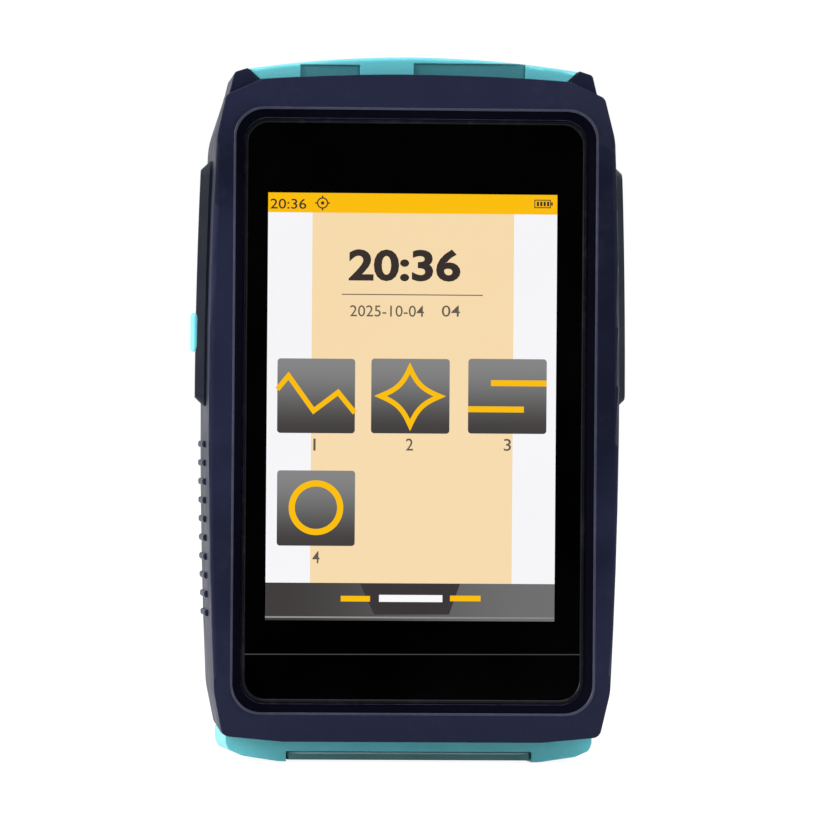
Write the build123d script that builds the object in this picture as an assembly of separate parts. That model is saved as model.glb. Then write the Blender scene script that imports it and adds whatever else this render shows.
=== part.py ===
from build123d import *

import os
from math import cos, radians, sin

# Handheld optical time domain reflectometer, in mm, standing on its foot.
# +X is the right of someone who looks at the screen, +Y the rear, +Z up.
# The origin is the middle of the box round the object, at floor level.

# Pieces in the order in which they lie from front to rear: their thicknesses set the depth
GLASS_SUNK = 1.1
GLASS_THICK = 1.1
DISPLAY_THICK = 2.6
CARRIER_FLOOR = 1.0
BOARD_STANDOFF = 2.6
BOARD_THICK = 1.6
TRAY_STANDOFF = 1.2
TRAY_THICK = 2.6
MODULE_THICK = 8.2
PAD_THICK = 0.8
BATTERY_THICK = 8.2
WALL = 2.2

# Front face: the glass, the sloping recess round it and the shell round that set width and height
GLASS_WIDE = 57.1
GLASS_TALL = 97.9
GLASS_R = 3.4
RECESS_SIDE = 2.65
RECESS_END = 2.75
RECESS_R = 5.1
LEDGE_RIM = 1.2
LEDGE_RIM_R = 2.0
RECESS_DEPTH = 1.2
RECESS_FOOT_Z = 8.1
FACE_SIDE = 3.9
FACE_TOP = 5.7
COVER_HIGH = 3.1

# Front shell: depth, rounding of its edge, and facets round the window
FRONT_DEEP = 6.0
FRONT_EDGE_R = 0.8
FACET_IN = 10.6
FACET_TILT = 12.0
FACET_TURN = 10.0
FACET_GAP = 0.3
FOOT_R = 1.6
SIDE_LOW_R = 14.0
SIDE_HIGH_R = 12.0
SHOULDER_R = 1.4
EAR_R = 3.0
EAR_TIP_R = 0.8
CAVITY_R = 2.0
SADDLE_PAST = 0.02
FOOT_Z = 3.5
FOOT_CORNER_Z = 4.4
SIDE_LOW_Z = 12.0
FOOT_FLAT_SHARE = 22.0 / 35.1
WIDEST_DROP = 1.8

# Rear shell: depth before its rear face and how far it is drawn in there
REAR_STEPS = ((3.8, 0.85), (1.5, 1.8), (0.4, 3.0), (0.0, 4.4))
FLANK_DRAFT = 0.85

# Ring, ledge and adhesive of the glass
RING_WIDE = 0.75
RING_PROUD = 0.15
RING_BEVEL = 0.22
GLASS_BEVEL = 0.12
FIT_GAP = 0.05
LEDGE_THICK = 1.5
ADHESIVE_THICK = 0.15
ADHESIVE_IN = 0.1
ADHESIVE_GAP = 0.4

# Display and its carrier
DISPLAY_SIDE = 1.3
DISPLAY_FOOT = 6.55
DISPLAY_HEAD = 9.55
DISPLAY_GAP = 0.2
DISPLAY_SEAT_GAP = 0.1
DISPLAY_TAIL = (18.0, 3.5, 0.9)
CARRIER_SIDE = 0.05
CARRIER_FOOT = 1.6
CARRIER_RIM = 1.0
CARRIER_R = 1.2
CARRIER_WINDOW = (28.0, 20.0)
CARRIER_WINDOW_LOW = 12.0
CARRIER_WINDOW_HIGH = 10.0
POST_R = 2.0
POST_PILOT_R = 0.8

# Shell fastening: bosses, screws, tongue and seal
BOSS_R = 2.4
BOSS_LOW_Z = 12.2
BOSS_LOW_IN = 7.5
BOSS_TOP_DROP = 14.3
BOSS_TOP_IN = 7.3
BOSS_OVER = 0.45
BOSS_SEAT = 7.0
SCREW_R = 1.15
SCREW_HOLE_R = 1.3
PILOT_R = 1.2
PILOT_FLOOR = 0.6
SCREW_END_GAP = 0.4
SCREW_HEAD_R = 2.0
SCREW_HEAD_HIGH = 1.6
SCREW_HEAD_HOLE_R = 2.15
TONGUE_WIDE = 0.9
TONGUE_DEEP = 1.0
SEAL_THICK = 0.5
SEAL_OPEN = 0.2

# Side grips and ribs
GRIP_TOP_DROP = 14.9
GRIP_TALL = 41.8
GRIP_FRONT = 0.6
GRIP_REAR = 8.0
GRIP_PROUD_FRONT = 1.95
GRIP_PROUD_REAR = 1.1
GRIP_BEVEL = 1.5
GRIP_CORNER_R = 2.5
GRIP_ROOT = 5.1
RIB_DROP = 6.5
RIB_LOW_Z = 25.0
RIB_PITCH = 3.2
RIB_HIGH = 1.1
RIB_PROUD = 0.6
RIB_FRONT = 2.5
RIB_ROOT = 1.6
RIB_BEVEL = 0.25

# Power button and its switch
BUTTON_LIFT = 9.3
BUTTON_TALL = 6.6
BUTTON_DEEP = 8.0
BUTTON_FRONT = 1.6
BUTTON_PROUD = 2.1
BUTTON_R = 1.0
BUTTON_EDGE_R = 0.45
BUTTON_GAP = 0.25
BUTTON_TRAVEL = 0.6
BUTTON_FLANGE = 0.8
BUTTON_FLANGE_OVER = 1.0
BUTTON_FLANGE_CUT = 0.4
BUTTON_FLANGE_R = 0.8
BUTTON_PAD_GAP = 0.1
BUTTON_FLANGE_GAP = 0.6
SWITCH_GAP = 0.1
SWITCH_SIDE = 4.4
SWITCH_DEEP = 1.5
SWITCH_PLUNGER = 0.7
SWITCH_PLUNGER_R = 1.2
SWITCH_BOARD_THICK = 1.0
SWITCH_BOARD_FRONT = 3.4
SWITCH_BOARD_REAR = 5.5
SWITCH_BOARD_UP = 7.0
SWITCH_R = 0.4
SLOT_RIB = 2.0
SLOT_BITE = 0.8
SLOT_ROOT = 1.5
SLOT_GAP = 0.1
SLOT_LIP = 1.0
SLOT_FRONT = 1.5

# Connector bay
BAY_SIDE = 10.8
BAY_FRONT = 2.0
BAY_REAR = 1.6
BAY_DROP = 11.7
BAY_FLOOR_THICK = 2.0
BAY_R = 2.0
PORT_BACK = 9.4
PLATE_THICK = 1.5
PLATE_GAP = 0.15
PLATE_R_LESS = 0.2
PLATE_SCREW_EDGE = 2.1
PLATE_SCREW_R = 0.85
PLATE_SCREW_PILOT_R = 0.9
PLATE_SCREW_HOLE_R = 1.1
PLATE_SCREW_HEAD_R = 1.5
PLATE_SCREW_HEAD_HIGH = 0.9
PLATE_SCREW_BITE = 1.8

# Optical connectors
FLANGE = 11.0
FLANGE_THICK = 1.6
FLANGE_R = 1.2
FLANGE_SIDE = 2.8
FLANGE_SCREW_EDGE = 1.4
FLANGE_SCREW_R = 0.7
FLANGE_SCREW_PILOT_R = 0.75
FLANGE_SCREW_HOLE_R = 0.8
FLANGE_SCREW_HEAD_R = 1.15
FLANGE_SCREW_HEAD_HIGH = 0.6
FLANGE_SCREW_BITE = 1.2
BARREL_R = 4.0
BARREL_WALL = 0.9
BARREL_BEVEL = 0.3
RELIEF_R_LESS = 0.3
RELIEF_HIGH = 1.0
BARREL_HIGH = 6.2
BARREL_FLOOR = 0.6
LOCATOR_R = 3.2
LOCATOR_WALL = 0.8
KEY_WIDE = 2.2
KEY_DEEP = 3.4
KEY_BITE = 0.4
INNER_TUBE_R = 2.2
SLEEVE_OUT_R = 1.6
SLEEVE_IN_R = 1.25
SLEEVE_LONG = 11.4
SLEEVE_SUNK = 0.6
SLEEVE_PROUD = 0.4
TAIL_R = 3.4
TAIL_BORE_R = 1.0
TAIL_LONG = 7.5
TAIL_HOLE_GAP = 0.1
SEAT_GAP = 0.01
TAIL_FLOOR_GAP = 0.6
DETECTOR_CAN = (2.6, 2.2)
LASER_CAN = (2.4, 3.0)
CAN_RIM = 0.5
CAN_LEAD_R = 0.25
CAN_LEAD_LONG = 2.5
CAN_LEAD_PITCH = 1.0

# Top cover
COVER_FRONT = 0.3
COVER_REAR = 1.1
COVER_WALL = 1.3
COVER_GAP = 0.1
COVER_SIDE_GAP = 0.25
COVER_EDGE_R = 0.7
COVER_REAR_R = 1.6
COVER_SEAT_IN = 0.2
SKIRT_SIDE_GAP = 0.35
SKIRT_GAP = 0.4
SKIRT_DEEP = 2.6
SKIRT_LAP = 0.8
HOLLOW_IN = 1.6
HOLLOW_DROP = 4.0
SKIRT_R = 1.6
HINGE_IN = 3.0
HINGE_DROP = 0.6
HINGE_PIN_R = 0.75
HINGE_PIN_GAP = 0.05
HINGE_PIN_BITE = 1.9
HINGE_PIN_BEVEL = 0.15
PIN_END_GAP = 0.1
KNUCKLE_R = 1.8
KNUCKLE_SIDE_GAP = 0.4
NOTCH_SIDE = 10.5
NOTCH_FRONT = 2.8
NOTCH_DROP = 4.6
NOTCH_R = 1.2
NOTCH_GAP = 0.3
PATCHES = ((-19.4, -9.2, 1.7), (0.0, 19.2, 2.1))
PATCH_DEEP = 0.5

# Foot bumper, its pit and its flap
BUMPER_IN = 3.7
BUMPER_FRONT = 0.3
BUMPER_REAR = 3.0
BUMPER_HIGH = 5.4
BUMPER_REAR_R = 1.2
BUMPER_STEPS = ((9.2, 0.0, 6.0), (2.8, 0.95, 3.0), (0.5, 2.0, 1.0), (0.0, 3.2, 1.0))
FLAP_IN = 10.6
FLAP_FRONT = 0.1
FLAP_Z = (0.3, 1.6)
FLAP_R = 0.6
FLAP_PIN_IN = 5.5
FLAP_PIN_Z = 1.15
FLAP_PIN_R = 0.4
FLAP_PIN_BITE = 1.4
FLAP_KNUCKLE_R = 0.9
FLAP_GAP = 0.25
FLAP_KNUCKLE_GAP = 0.3
PIT_SIDE = 3.3
PIT_FRONT = 4.7
PIT_REAR = 2.2
PIT_R = 1.5
PLUG_GAP = 1.2
PLUG_REAR_GAP = 1.6
PLUG_SINK = 0.3
PLUG_R = 1.2
PLUG_IN_R = 0.8
PLUG_HIGH = 1.0
PLUG_WALL = 1.0

# Sockets and their board
USB_SPACE = (5.03, 4.13)
USB_SIZE = (8.94, 3.26)
USB_MOUTH_Z = 5.0
USB_LONG = 7.4
USB_WALL = 0.3
USB_BACK = 0.8
USB_TONGUE = (6.6, 0.7)
USB_TONGUE_IN = 1.0
CARD_SIDE = 2.9
CARD_SIZE = (14.0, 1.9)
CARD_MOUTH_Z = 5.4
CARD_LONG = 14.8
CARD_SLOT = (11.4, 11.5)
CARD_WALL = (0.4, 0.6)
SOCKET_GAP = 0.2
SOCKET_CUT_Z = (3.0, 8.0)
IO_BOARD_IN = 3.1
IO_BOARD_THICK = 1.2
IO_BOARD_Z = (7.2, 21.0)
IO_BOARD_OVER = 1.5
IO_BOARD_R = 1.0
IO_SCREW_EDGE = 2.4
IO_SCREW_DROP = 4.0
IO_POST_R = 2.2
IO_PILOT = (0.8, 6.0)
BOARD_SCREW_R = 0.75
BOARD_SCREW_HEAD_R = 1.5
BOARD_SCREW_HEAD_HIGH = 0.9
BOARD_HOLE_GAP = 0.15
MAIN_HOLE_GAP = 0.25
IO_SCREW_LONG = 5.0
BOARD_SCREW_LONG = 3.6

# Main board, fibre tray, optical module and battery
BOARD_IN = 3.0
BOARD_FOOT = 1.4
BOARD_HEAD = 4.7
BOARD_R = 1.5
BOARD_SCREW_EDGE = 2.6
BOARD_SCREW_LIFT = 4.2
SHIELDS = ((-18, 4, 12, 30), (8, 20, 14, 34), (-16, 16, 50, 70))
SHIELD_HIGH = 1.8
SHIELD_WALL = 0.4
SHIELD_R = 0.8
BEEPER_R = 4.5
BEEPER_HIGH = 3.2
BEEPER_LIFT = 5.0
BEEPER_HOLE = (0.8, 0.6)
TRAY_SIDE = 3.5
TRAY_END = 6.5
COIL_LIFT = 33.0
TRAY_R = 4.0
TRAY_FLOOR = 0.8
COIL_R = 17.5
COIL_THICK = 1.4
COIL_OUT_GAP = 0.9
COIL_IN_GAP = 0.7
TRAY_FOOT = (3.0, 1.6, 0.5)
MODULE_IN = 3.5
MODULE_FOOT = 11.0
MODULE_HEAD = 8.0
FIN_EDGE = 4.0
FIN_PITCH = 4.0
FIN_SLOT = (1.8, 0.8, 6.0)
MODULE_R = 1.5
NOSE_R = 1.4
NOSE_LONG = 1.6
NOSE_FLOOR = 0.4
NOSE_BORE_R = 0.55
PIGTAIL_R = 0.45
PIGTAIL_GAP = 0.1
PIGTAIL_END_GAP = 0.5
BATTERY_IN = 1.0
BATTERY_FOOT = 5.0
BATTERY_HEAD = 7.5
BATTERY_STEP = (5.0, 2.0, 1.6)
BATTERY_R = 1.2
BATTERY_RIB = (0.3, 1.4, 2.5)
BATTERY_RIB_LONG = 16.0
BATTERY_RIB_LOW = 8.0
BATTERY_RIB_HIGH = 26.0
BATTERY_END_RIB = 24.0
PAD_FRONT = (36.0, 12.0, 4.0, 20.0)
PAD_REAR = (40.0, 14.0, 6.0, 24.0)

# Overlap of pieces that are joined into one solid, and reach of cuts past the surface they open
SINK = 0.5
ROOT = 0.3
PAST = 1.0
FAR = 12.0
NEAR = 0.01

# Depths, worked out from the thicknesses
DEEP = (
    GLASS_SUNK + GLASS_THICK + DISPLAY_THICK + CARRIER_FLOOR + BOARD_STANDOFF + BOARD_THICK
    + TRAY_STANDOFF + TRAY_THICK + MODULE_THICK + BATTERY_THICK + 2 * PAD_THICK + WALL
)
FRONT_Y = -DEEP / 2
REAR_Y = DEEP / 2
PARTING_Y = FRONT_Y + FRONT_DEEP
INNER_REAR_Y = REAR_Y - WALL
GLASS_Y = FRONT_Y + GLASS_SUNK
GLASS_BACK_Y = GLASS_Y + GLASS_THICK
LEDGE_Y = GLASS_BACK_Y + ADHESIVE_THICK
LEDGE_BACK_Y = LEDGE_Y + LEDGE_THICK
DISPLAY_BACK_Y = GLASS_BACK_Y + DISPLAY_THICK
CARRIER_BACK_Y = DISPLAY_BACK_Y + CARRIER_FLOOR
BOARD_Y = (CARRIER_BACK_Y + BOARD_STANDOFF, CARRIER_BACK_Y + BOARD_STANDOFF + BOARD_THICK)
TRAY_Y = (BOARD_Y[1] + TRAY_STANDOFF, BOARD_Y[1] + TRAY_STANDOFF + TRAY_THICK)
MODULE_Y = (TRAY_Y[1], TRAY_Y[1] + MODULE_THICK)
BATTERY_Y = (MODULE_Y[1] + PAD_THICK, MODULE_Y[1] + PAD_THICK + BATTERY_THICK)
REAR_SECTIONS = ((PARTING_Y, 0.0), *((REAR_Y - back, inset) for back, inset in REAR_STEPS))
CAVITY_SECTIONS = ((PARTING_Y, 0.0), (INNER_REAR_Y - 1.4, FLANK_DRAFT), (INNER_REAR_Y, 2.1))

# Half widths, worked out from the glass
HALF_WIDE = GLASS_WIDE / 2 + RECESS_SIDE + FACE_SIDE
FACET_X = HALF_WIDE - FACET_IN
BAY_X = HALF_WIDE - BAY_SIDE
NOTCH_X = HALF_WIDE - NOTCH_SIDE
CARRIER_X = GLASS_WIDE / 2 - CARRIER_SIDE
DISPLAY_X = GLASS_WIDE / 2 - DISPLAY_SIDE
BOARD_X = CARRIER_X - BOARD_IN
MODULE_X = BOARD_X - MODULE_IN
BATTERY_X = BOARD_X - BATTERY_IN
BUMPER_X = HALF_WIDE - BUMPER_IN
FLAP_X = BUMPER_X - FLAP_IN
PIT_X = FLAP_X - PIT_SIDE
IO_BOARD_X = PIT_X + IO_BOARD_OVER
PORT_X = BAY_X - FLANGE / 2 - FLANGE_SIDE
PORTS_X = (-PORT_X, 0.0, PORT_X)

# Heights, worked out from the glass
RECESS = (GLASS_WIDE + 2 * RECESS_SIDE, GLASS_TALL + 2 * RECESS_END)
GLASS = (GLASS_WIDE, GLASS_TALL)
GLASS_Z = (RECESS_FOOT_Z + RECESS_END, RECESS_FOOT_Z + RECESS_END + GLASS_TALL)
WINDOW_Z = (GLASS_Z[0] + GLASS_Z[1]) / 2
CROWN_Z = GLASS_Z[1] + RECESS_END + FACE_TOP
COVER_TOP_Z = CROWN_Z + COVER_HIGH
DISPLAY_Z = (GLASS_Z[0] + DISPLAY_FOOT, GLASS_Z[1] - DISPLAY_HEAD)
NOTCH_FLOOR_Z = CROWN_Z - NOTCH_DROP
BAY_FLOOR_Z = CROWN_Z - BAY_DROP
BAY_UNDER_Z = BAY_FLOOR_Z - BAY_FLOOR_THICK
PLATE_TOP_Z = BAY_FLOOR_Z + PLATE_THICK
FLANGE_TOP_Z = PLATE_TOP_Z + FLANGE_THICK
BARREL_TOP_Z = FLANGE_TOP_Z + BARREL_HIGH
SLEEVE_TOP_Z = BARREL_TOP_Z - SLEEVE_SUNK
SLEEVE_FOOT_Z = SLEEVE_TOP_Z - SLEEVE_LONG
TAIL_END_Z = BAY_FLOOR_Z - TAIL_LONG
BOARD_Z = (DISPLAY_Z[0] - BOARD_FOOT, BAY_UNDER_Z - BOARD_HEAD)
MODULE_Z = (BOARD_Z[0] + MODULE_FOOT, TAIL_END_Z - MODULE_HEAD)
TRAY_MID_Z = MODULE_Z[0] + COIL_LIFT
BATTERY_Z = (IO_BOARD_Z[1] + BATTERY_FOOT, BAY_UNDER_Z - BATTERY_HEAD)
GRIP_Z = (CROWN_Z - GRIP_TOP_DROP - GRIP_TALL, CROWN_Z - GRIP_TOP_DROP)
RIB_TOP_Z = GRIP_Z[0] - RIB_DROP
RIB_COUNT = 1 + int((RIB_TOP_Z - RIB_LOW_Z) / RIB_PITCH)
BUTTON_Z = (GRIP_Z[0] + BUTTON_LIFT, GRIP_Z[0] + BUTTON_LIFT + BUTTON_TALL)
BOSSES = ((HALF_WIDE - BOSS_LOW_IN, BOSS_LOW_Z), (HALF_WIDE - BOSS_TOP_IN, CROWN_Z - BOSS_TOP_DROP))

# Outline of the shells as (half width, height): each corner is a step in from the widest line
SIDE_HIGH_Z = CROWN_Z - 11.0
FOOT_CORNER = (HALF_WIDE - 2.8, FOOT_CORNER_Z)
SIDE_LOW = (HALF_WIDE - 1.2, SIDE_LOW_Z)
SIDE_MID = (HALF_WIDE, WINDOW_Z - WIDEST_DROP)
SIDE_HIGH = (HALF_WIDE - 1.0, SIDE_HIGH_Z)
TOP_CORNER = (HALF_WIDE - 2.7, CROWN_Z - 3.7)
CROWN_END = (HALF_WIDE - 8.6, CROWN_Z - 1.0)
EAR_OUT = (HALF_WIDE - 3.7, CROWN_Z - 2.6)
EAR_TIP = (HALF_WIDE - 4.4, CROWN_Z + 0.3)
EAR_TOP = (HALF_WIDE - 6.6, CROWN_Z + 1.0)
FOOT_FLAT_X = HALF_WIDE * FOOT_FLAT_SHARE

# Depths of the bay, the cover, the foot and the flanks, worked out from the shells
HINGE_Y = REAR_Y - HINGE_IN
HINGE_Z = CROWN_Z - HINGE_DROP
NOTCH_Y = HINGE_Y - NOTCH_FRONT
BAY_Y = (PARTING_Y + BAY_FRONT, NOTCH_Y - BAY_REAR)
PORT_Y = BAY_Y[0] + PORT_BACK
COVER_Y = (PARTING_Y + COVER_FRONT, REAR_Y - COVER_REAR)
COVER_WING_X = EAR_TOP[0] - COVER_SIDE_GAP
KNUCKLE_X = NOTCH_X - KNUCKLE_SIDE_GAP
BUMPER_Y = (PARTING_Y + BUMPER_FRONT, REAR_Y - BUMPER_REAR)
FLAP_FRONT_Y = BUMPER_Y[0] + FLAP_FRONT
FLAP_PIN_Y = BUMPER_Y[1] - FLAP_PIN_IN
PIT_Y = (BUMPER_Y[0] + PIT_FRONT, FLAP_PIN_Y - PIT_REAR)
IO_BOARD_Y = (PIT_Y[1] - IO_BOARD_IN, PIT_Y[1] - IO_BOARD_IN + IO_BOARD_THICK)
USB_FREE = 2 * PIT_X - CARD_SIDE - CARD_SIZE[0] - USB_SIZE[0]
USB_X = USB_SIZE[0] / 2 - PIT_X + USB_FREE * USB_SPACE[0] / sum(USB_SPACE)
USB_Y = IO_BOARD_Y[0] - USB_SIZE[1] / 2
CARD_Y = (IO_BOARD_Y[0] - CARD_SIZE[1], IO_BOARD_Y[0])
CARD_X = PIT_X - CARD_SIDE - CARD_SIZE[0] / 2
GRIP_Y = (PARTING_Y + GRIP_FRONT, REAR_Y - GRIP_REAR)
RIB_Y = (PARTING_Y + RIB_FRONT, GRIP_Y[1])
BUTTON_Y = (GRIP_Y[0] + BUTTON_FRONT, GRIP_Y[0] + BUTTON_FRONT + BUTTON_DEEP)
BUTTON_TIP_X = -HALF_WIDE - BUTTON_PROUD
FLANGE_OUT_X = -HALF_WIDE + WALL + BUTTON_FLANGE_GAP
BUTTON_FLANGE_X = (FLANGE_OUT_X, FLANGE_OUT_X + BUTTON_FLANGE)
SWITCH_TIP_X = BUTTON_FLANGE_X[1] + BUTTON_TRAVEL + SWITCH_GAP
SWITCH_BACK_X = SWITCH_TIP_X + SWITCH_PLUNGER + SWITCH_DEEP
SWITCH_BOARD_X = (SWITCH_BACK_X, SWITCH_BACK_X + SWITCH_BOARD_THICK)
SWITCH_MID = ((BUTTON_Y[0] + BUTTON_Y[1]) / 2, (BUTTON_Z[0] + BUTTON_Z[1]) / 2)
SCREW_SEAT_Y = PARTING_Y + BOSS_SEAT
CROWN_RISE = CROWN_Z - CROWN_END[1]
CROWN_R = (CROWN_END[0] ** 2 + CROWN_RISE**2) / (2 * CROWN_RISE)
COVER_END_Z = EAR_TOP[1] - COVER_GAP
COVER_RISE = COVER_TOP_Z - COVER_END_Z
COVER_R = (COVER_WING_X**2 + COVER_RISE**2) / (2 * COVER_RISE)


# Helpers


def front_plane(y):
    """Sketch plane at depth y: local x is X, local y is Z, and it looks to the front."""
    return Plane(origin=(0, y, 0), x_dir=(1, 0, 0), z_dir=(0, -1, 0))


def rear_plane(y):
    """The same plane looking to the rear. Its local x is -X, so only for even outlines."""
    return Plane(origin=(0, y, 0), x_dir=(-1, 0, 0), z_dir=(0, 1, 0))


def prism(face, y_from, y_to):
    """Front view face drawn out between two depths."""
    return extrude(front_plane(y_to) * face, amount=y_to - y_from)


def block(x, y, z):
    """Box between the pairs of limits x, y and z."""
    lows = (x[0], y[0], z[0])
    sides = (x[1] - x[0], y[1] - y[0], z[1] - z[0])
    return Pos(*lows) * Box(*sides, align=(Align.MIN, Align.MIN, Align.MIN))


def rounded_block(x, y, z, radius, axis=Axis.Z):
    """Box with the four edges along one axis rounded."""
    box = block(x, y, z)
    return fillet(box.edges().filter_by(axis), radius)


def rod(start, end_value, radius, along):
    """Round bar from a start point along X, Y or Z to the given coordinate."""
    turns = {"X": Rot(0, 90, 0), "Y": Rot(-90, 0, 0), "Z": Rot(0, 0, 0)}
    which = "XYZ".index(along)
    place = list(start)
    place[which] = min(start[which], end_value)
    length = abs(end_value - start[which])
    bar = Cylinder(radius, length, align=(Align.CENTER, Align.CENTER, Align.MIN))
    return Pos(*place) * turns[along] * bar


def even(half):
    """Limits at the same distance on both sides of the middle."""
    return (-half, half)


def around(middle, half):
    """Limits at the same distance on both sides of a place."""
    return (middle - half, middle + half)


def widened(limits, by):
    """Limits moved out by the same gap at both ends, or in where it is negative."""
    return (limits[0] - by, limits[1] + by)


def even_face(*edges):
    """Face from edges drawn for +X only, closed by their mirror image."""
    half = Curve() + list(edges)
    return make_face(half + mirror(half, Plane.YZ))


def round_corners(face, rounding):
    """Rounds the outline corners named as (half width, height, radius)."""
    for x, z, radius in rounding:
        corners = [v for v in face.vertices() if abs(abs(v.X) - x) < NEAR and abs(v.Y - z) < NEAR]
        face = fillet(corners, radius)
    return face


def frame_rect(size, radius):
    """Rounded rectangle centred on the window, in the front view."""
    return Pos(0, WINDOW_Z) * RectangleRounded(size[0], size[1], radius)


def grown(size, by):
    """Size of a rectangle that is larger by the same margin all round."""
    return (size[0] + 2 * by, size[1] + 2 * by)


def arc_z(x, top, radius):
    """Height of a shallow crown arc at half width x."""
    return top - (radius - (radius**2 - x**2) ** 0.5)


def crown_arc(x_end, top, radius):
    """Arc from the given half width up to the middle, in the front view."""
    points = [(x, arc_z(x, top, radius)) for x in (x_end, x_end / 2, 0)]
    return ThreePointArc(*points)


def boss_places():
    """The four places where a screw joins the shells."""
    return [(side * x, z) for x, z in BOSSES for side in (-1, 1)]


# Shells


def front_outline():
    """Outline of the front shell where the shells meet."""
    face = even_face(
        Line((0, FOOT_Z), (FOOT_FLAT_X, FOOT_Z)),
        Line((FOOT_FLAT_X, FOOT_Z), FOOT_CORNER),
        Line(FOOT_CORNER, SIDE_LOW),
        ThreePointArc(SIDE_LOW, SIDE_MID, SIDE_HIGH),
        Line(SIDE_HIGH, TOP_CORNER),
        Line(TOP_CORNER, CROWN_END),
        crown_arc(CROWN_END[0], CROWN_Z, CROWN_R),
    )
    lower = ((*FOOT_CORNER, FOOT_R), (*SIDE_LOW, SIDE_LOW_R))
    return round_corners(face, (*lower, (*SIDE_HIGH, SIDE_HIGH_R), (*TOP_CORNER, SHOULDER_R)))


def rear_outline(inset):
    """Outline of the rear shell, drawn in by an inset, before the saddle is cut."""

    def drawn(point):
        return (point[0] - inset, point[1] + (inset if point[1] < SIDE_MID[1] else -inset))

    foot, low, high = drawn(FOOT_CORNER), drawn(SIDE_LOW), drawn(SIDE_HIGH)
    ear_out, ear_tip, ear_top = drawn(EAR_OUT), drawn(EAR_TIP), drawn(EAR_TOP)
    middle = (SIDE_MID[0] - inset, SIDE_MID[1])
    face = even_face(
        Line((0, foot[1]), foot),
        Line(foot, low),
        ThreePointArc(low, middle, high),
        Line(high, ear_out),
        Line(ear_out, ear_tip),
        Line(ear_tip, ear_top),
        Line(ear_top, (0, ear_top[1])),
    )
    flank = ((*foot, FOOT_R), (*low, SIDE_LOW_R), (*high, SIDE_HIGH_R))
    return round_corners(face, (*flank, (*ear_out, EAR_R), (*ear_tip, EAR_TIP_R)))


def rear_body(grow, grow_rear):
    """Lofted rear shell, grown at its front edge and behind: drafted flanks, rounded rear edge."""
    sections = []
    for y, inset in REAR_SECTIONS:
        out = grow if y == PARTING_Y else grow_rear
        sections.append(rear_plane(y) * rear_outline(inset - out))
    return loft(sections, ruled=True)


def facet_cuts(shell):
    """Cuts the sloping bands and turned corners above and below the window."""
    lean = radians(FACET_TILT)
    turn = radians(FACET_TURN)
    reach = RECESS[1] / 2 + FACET_GAP
    for z, way in ((WINDOW_Z + reach, 1), (WINDOW_Z - reach, -1)):
        band = Plane(origin=(0, FRONT_Y, z), z_dir=(0, -cos(lean), way * sin(lean)))
        shell = split(shell, bisect_by=band, keep=Keep.BOTTOM)
        for side in (-1, 1):
            normal = (side * sin(turn), -cos(lean) * cos(turn), way * sin(lean) * cos(turn))
            corner = Plane(origin=(side * FACET_X, FRONT_Y, z), z_dir=normal)
            shell = split(shell, bisect_by=corner, keep=Keep.BOTTOM)
    return shell


def front_block():
    """Solid front shell with its facets and rounded front edge."""
    core = extrude(front_plane(PARTING_Y) * front_outline(), amount=FRONT_DEEP)
    core = fillet(core.faces().sort_by(Axis.Y)[0].edges(), FRONT_EDGE_R)
    return facet_cuts(core)


def recess_cut():
    """Sloping sides of the window down to the ring."""
    wide = front_plane(FRONT_Y) * frame_rect(RECESS, RECESS_R)
    narrow = front_plane(FRONT_Y + RECESS_DEPTH) * frame_rect(
        grown(RECESS, RING_WIDE + 2 * FIT_GAP - RECESS_SIDE), GLASS_R + RING_WIDE
    )
    mouth = prism(frame_rect(RECESS, RECESS_R), FRONT_Y - PAST, FRONT_Y)
    return loft([wide, narrow], ruled=True) + mouth


def display_window():
    """Opening in the ledge that the display stands in."""
    return block(widened(even(DISPLAY_X), DISPLAY_GAP), (FRONT_Y, PARTING_Y), widened(DISPLAY_Z, DISPLAY_GAP))


def below_bay(face):
    """The part of a front view face that lies below the connector bay."""
    return face & Rectangle(4 * HALF_WIDE, 2 * BAY_UNDER_Z, align=(Align.CENTER, Align.CENTER))


def rim_band():
    """Band along the inside of the shells' wall, which the tongue and the seal share."""
    outline = front_outline()
    return below_bay(offset(outline, amount=TONGUE_WIDE - WALL) - offset(outline, amount=-WALL))


def front_shell(outer):
    """Front shell: window, ledge, cored rim, bosses and the tongue for the rear shell."""
    inner = offset(front_outline(), amount=-WALL)
    pocket_size = grown(GLASS, RING_WIDE + 2 * FIT_GAP)
    pocket = prism(frame_rect(pocket_size, GLASS_R + RING_WIDE), FRONT_Y - PAST, LEDGE_Y)
    rim_core = inner - frame_rect(grown(pocket_size, LEDGE_RIM), GLASS_R + LEDGE_RIM_R)
    shell = outer - recess_cut() - pocket - display_window()
    shell -= prism(inner, LEDGE_BACK_Y, PARTING_Y)
    shell -= prism(rim_core, LEDGE_Y, PARTING_Y)
    shell += prism(rim_band(), PARTING_Y, PARTING_Y + TONGUE_DEEP)
    for x, z in boss_places():
        shell += rod((x, LEDGE_Y, z), PARTING_Y, BOSS_R, "Y")
        shell -= rod((x, LEDGE_Y + PILOT_FLOOR, z), PARTING_Y, PILOT_R, "Y")
    return shell


def cavity_outline(inset):
    """Outline of the room in the rear shell, the wall and an inset inside the shell's own."""
    drawn = WALL + inset
    foot = (FOOT_CORNER[0] - drawn, FOOT_CORNER[1] + drawn)
    low = (SIDE_LOW[0] - drawn, SIDE_LOW[1])
    high = (SIDE_HIGH[0] - drawn, BAY_UNDER_Z)
    face = even_face(
        Line((0, foot[1]), foot),
        Line(foot, low),
        ThreePointArc(low, (SIDE_MID[0] - drawn, SIDE_MID[1]), high),
        Line(high, (0, BAY_UNDER_Z)),
    )
    return round_corners(face, ((*foot, CAVITY_R), (*high, CAVITY_R)))


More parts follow.
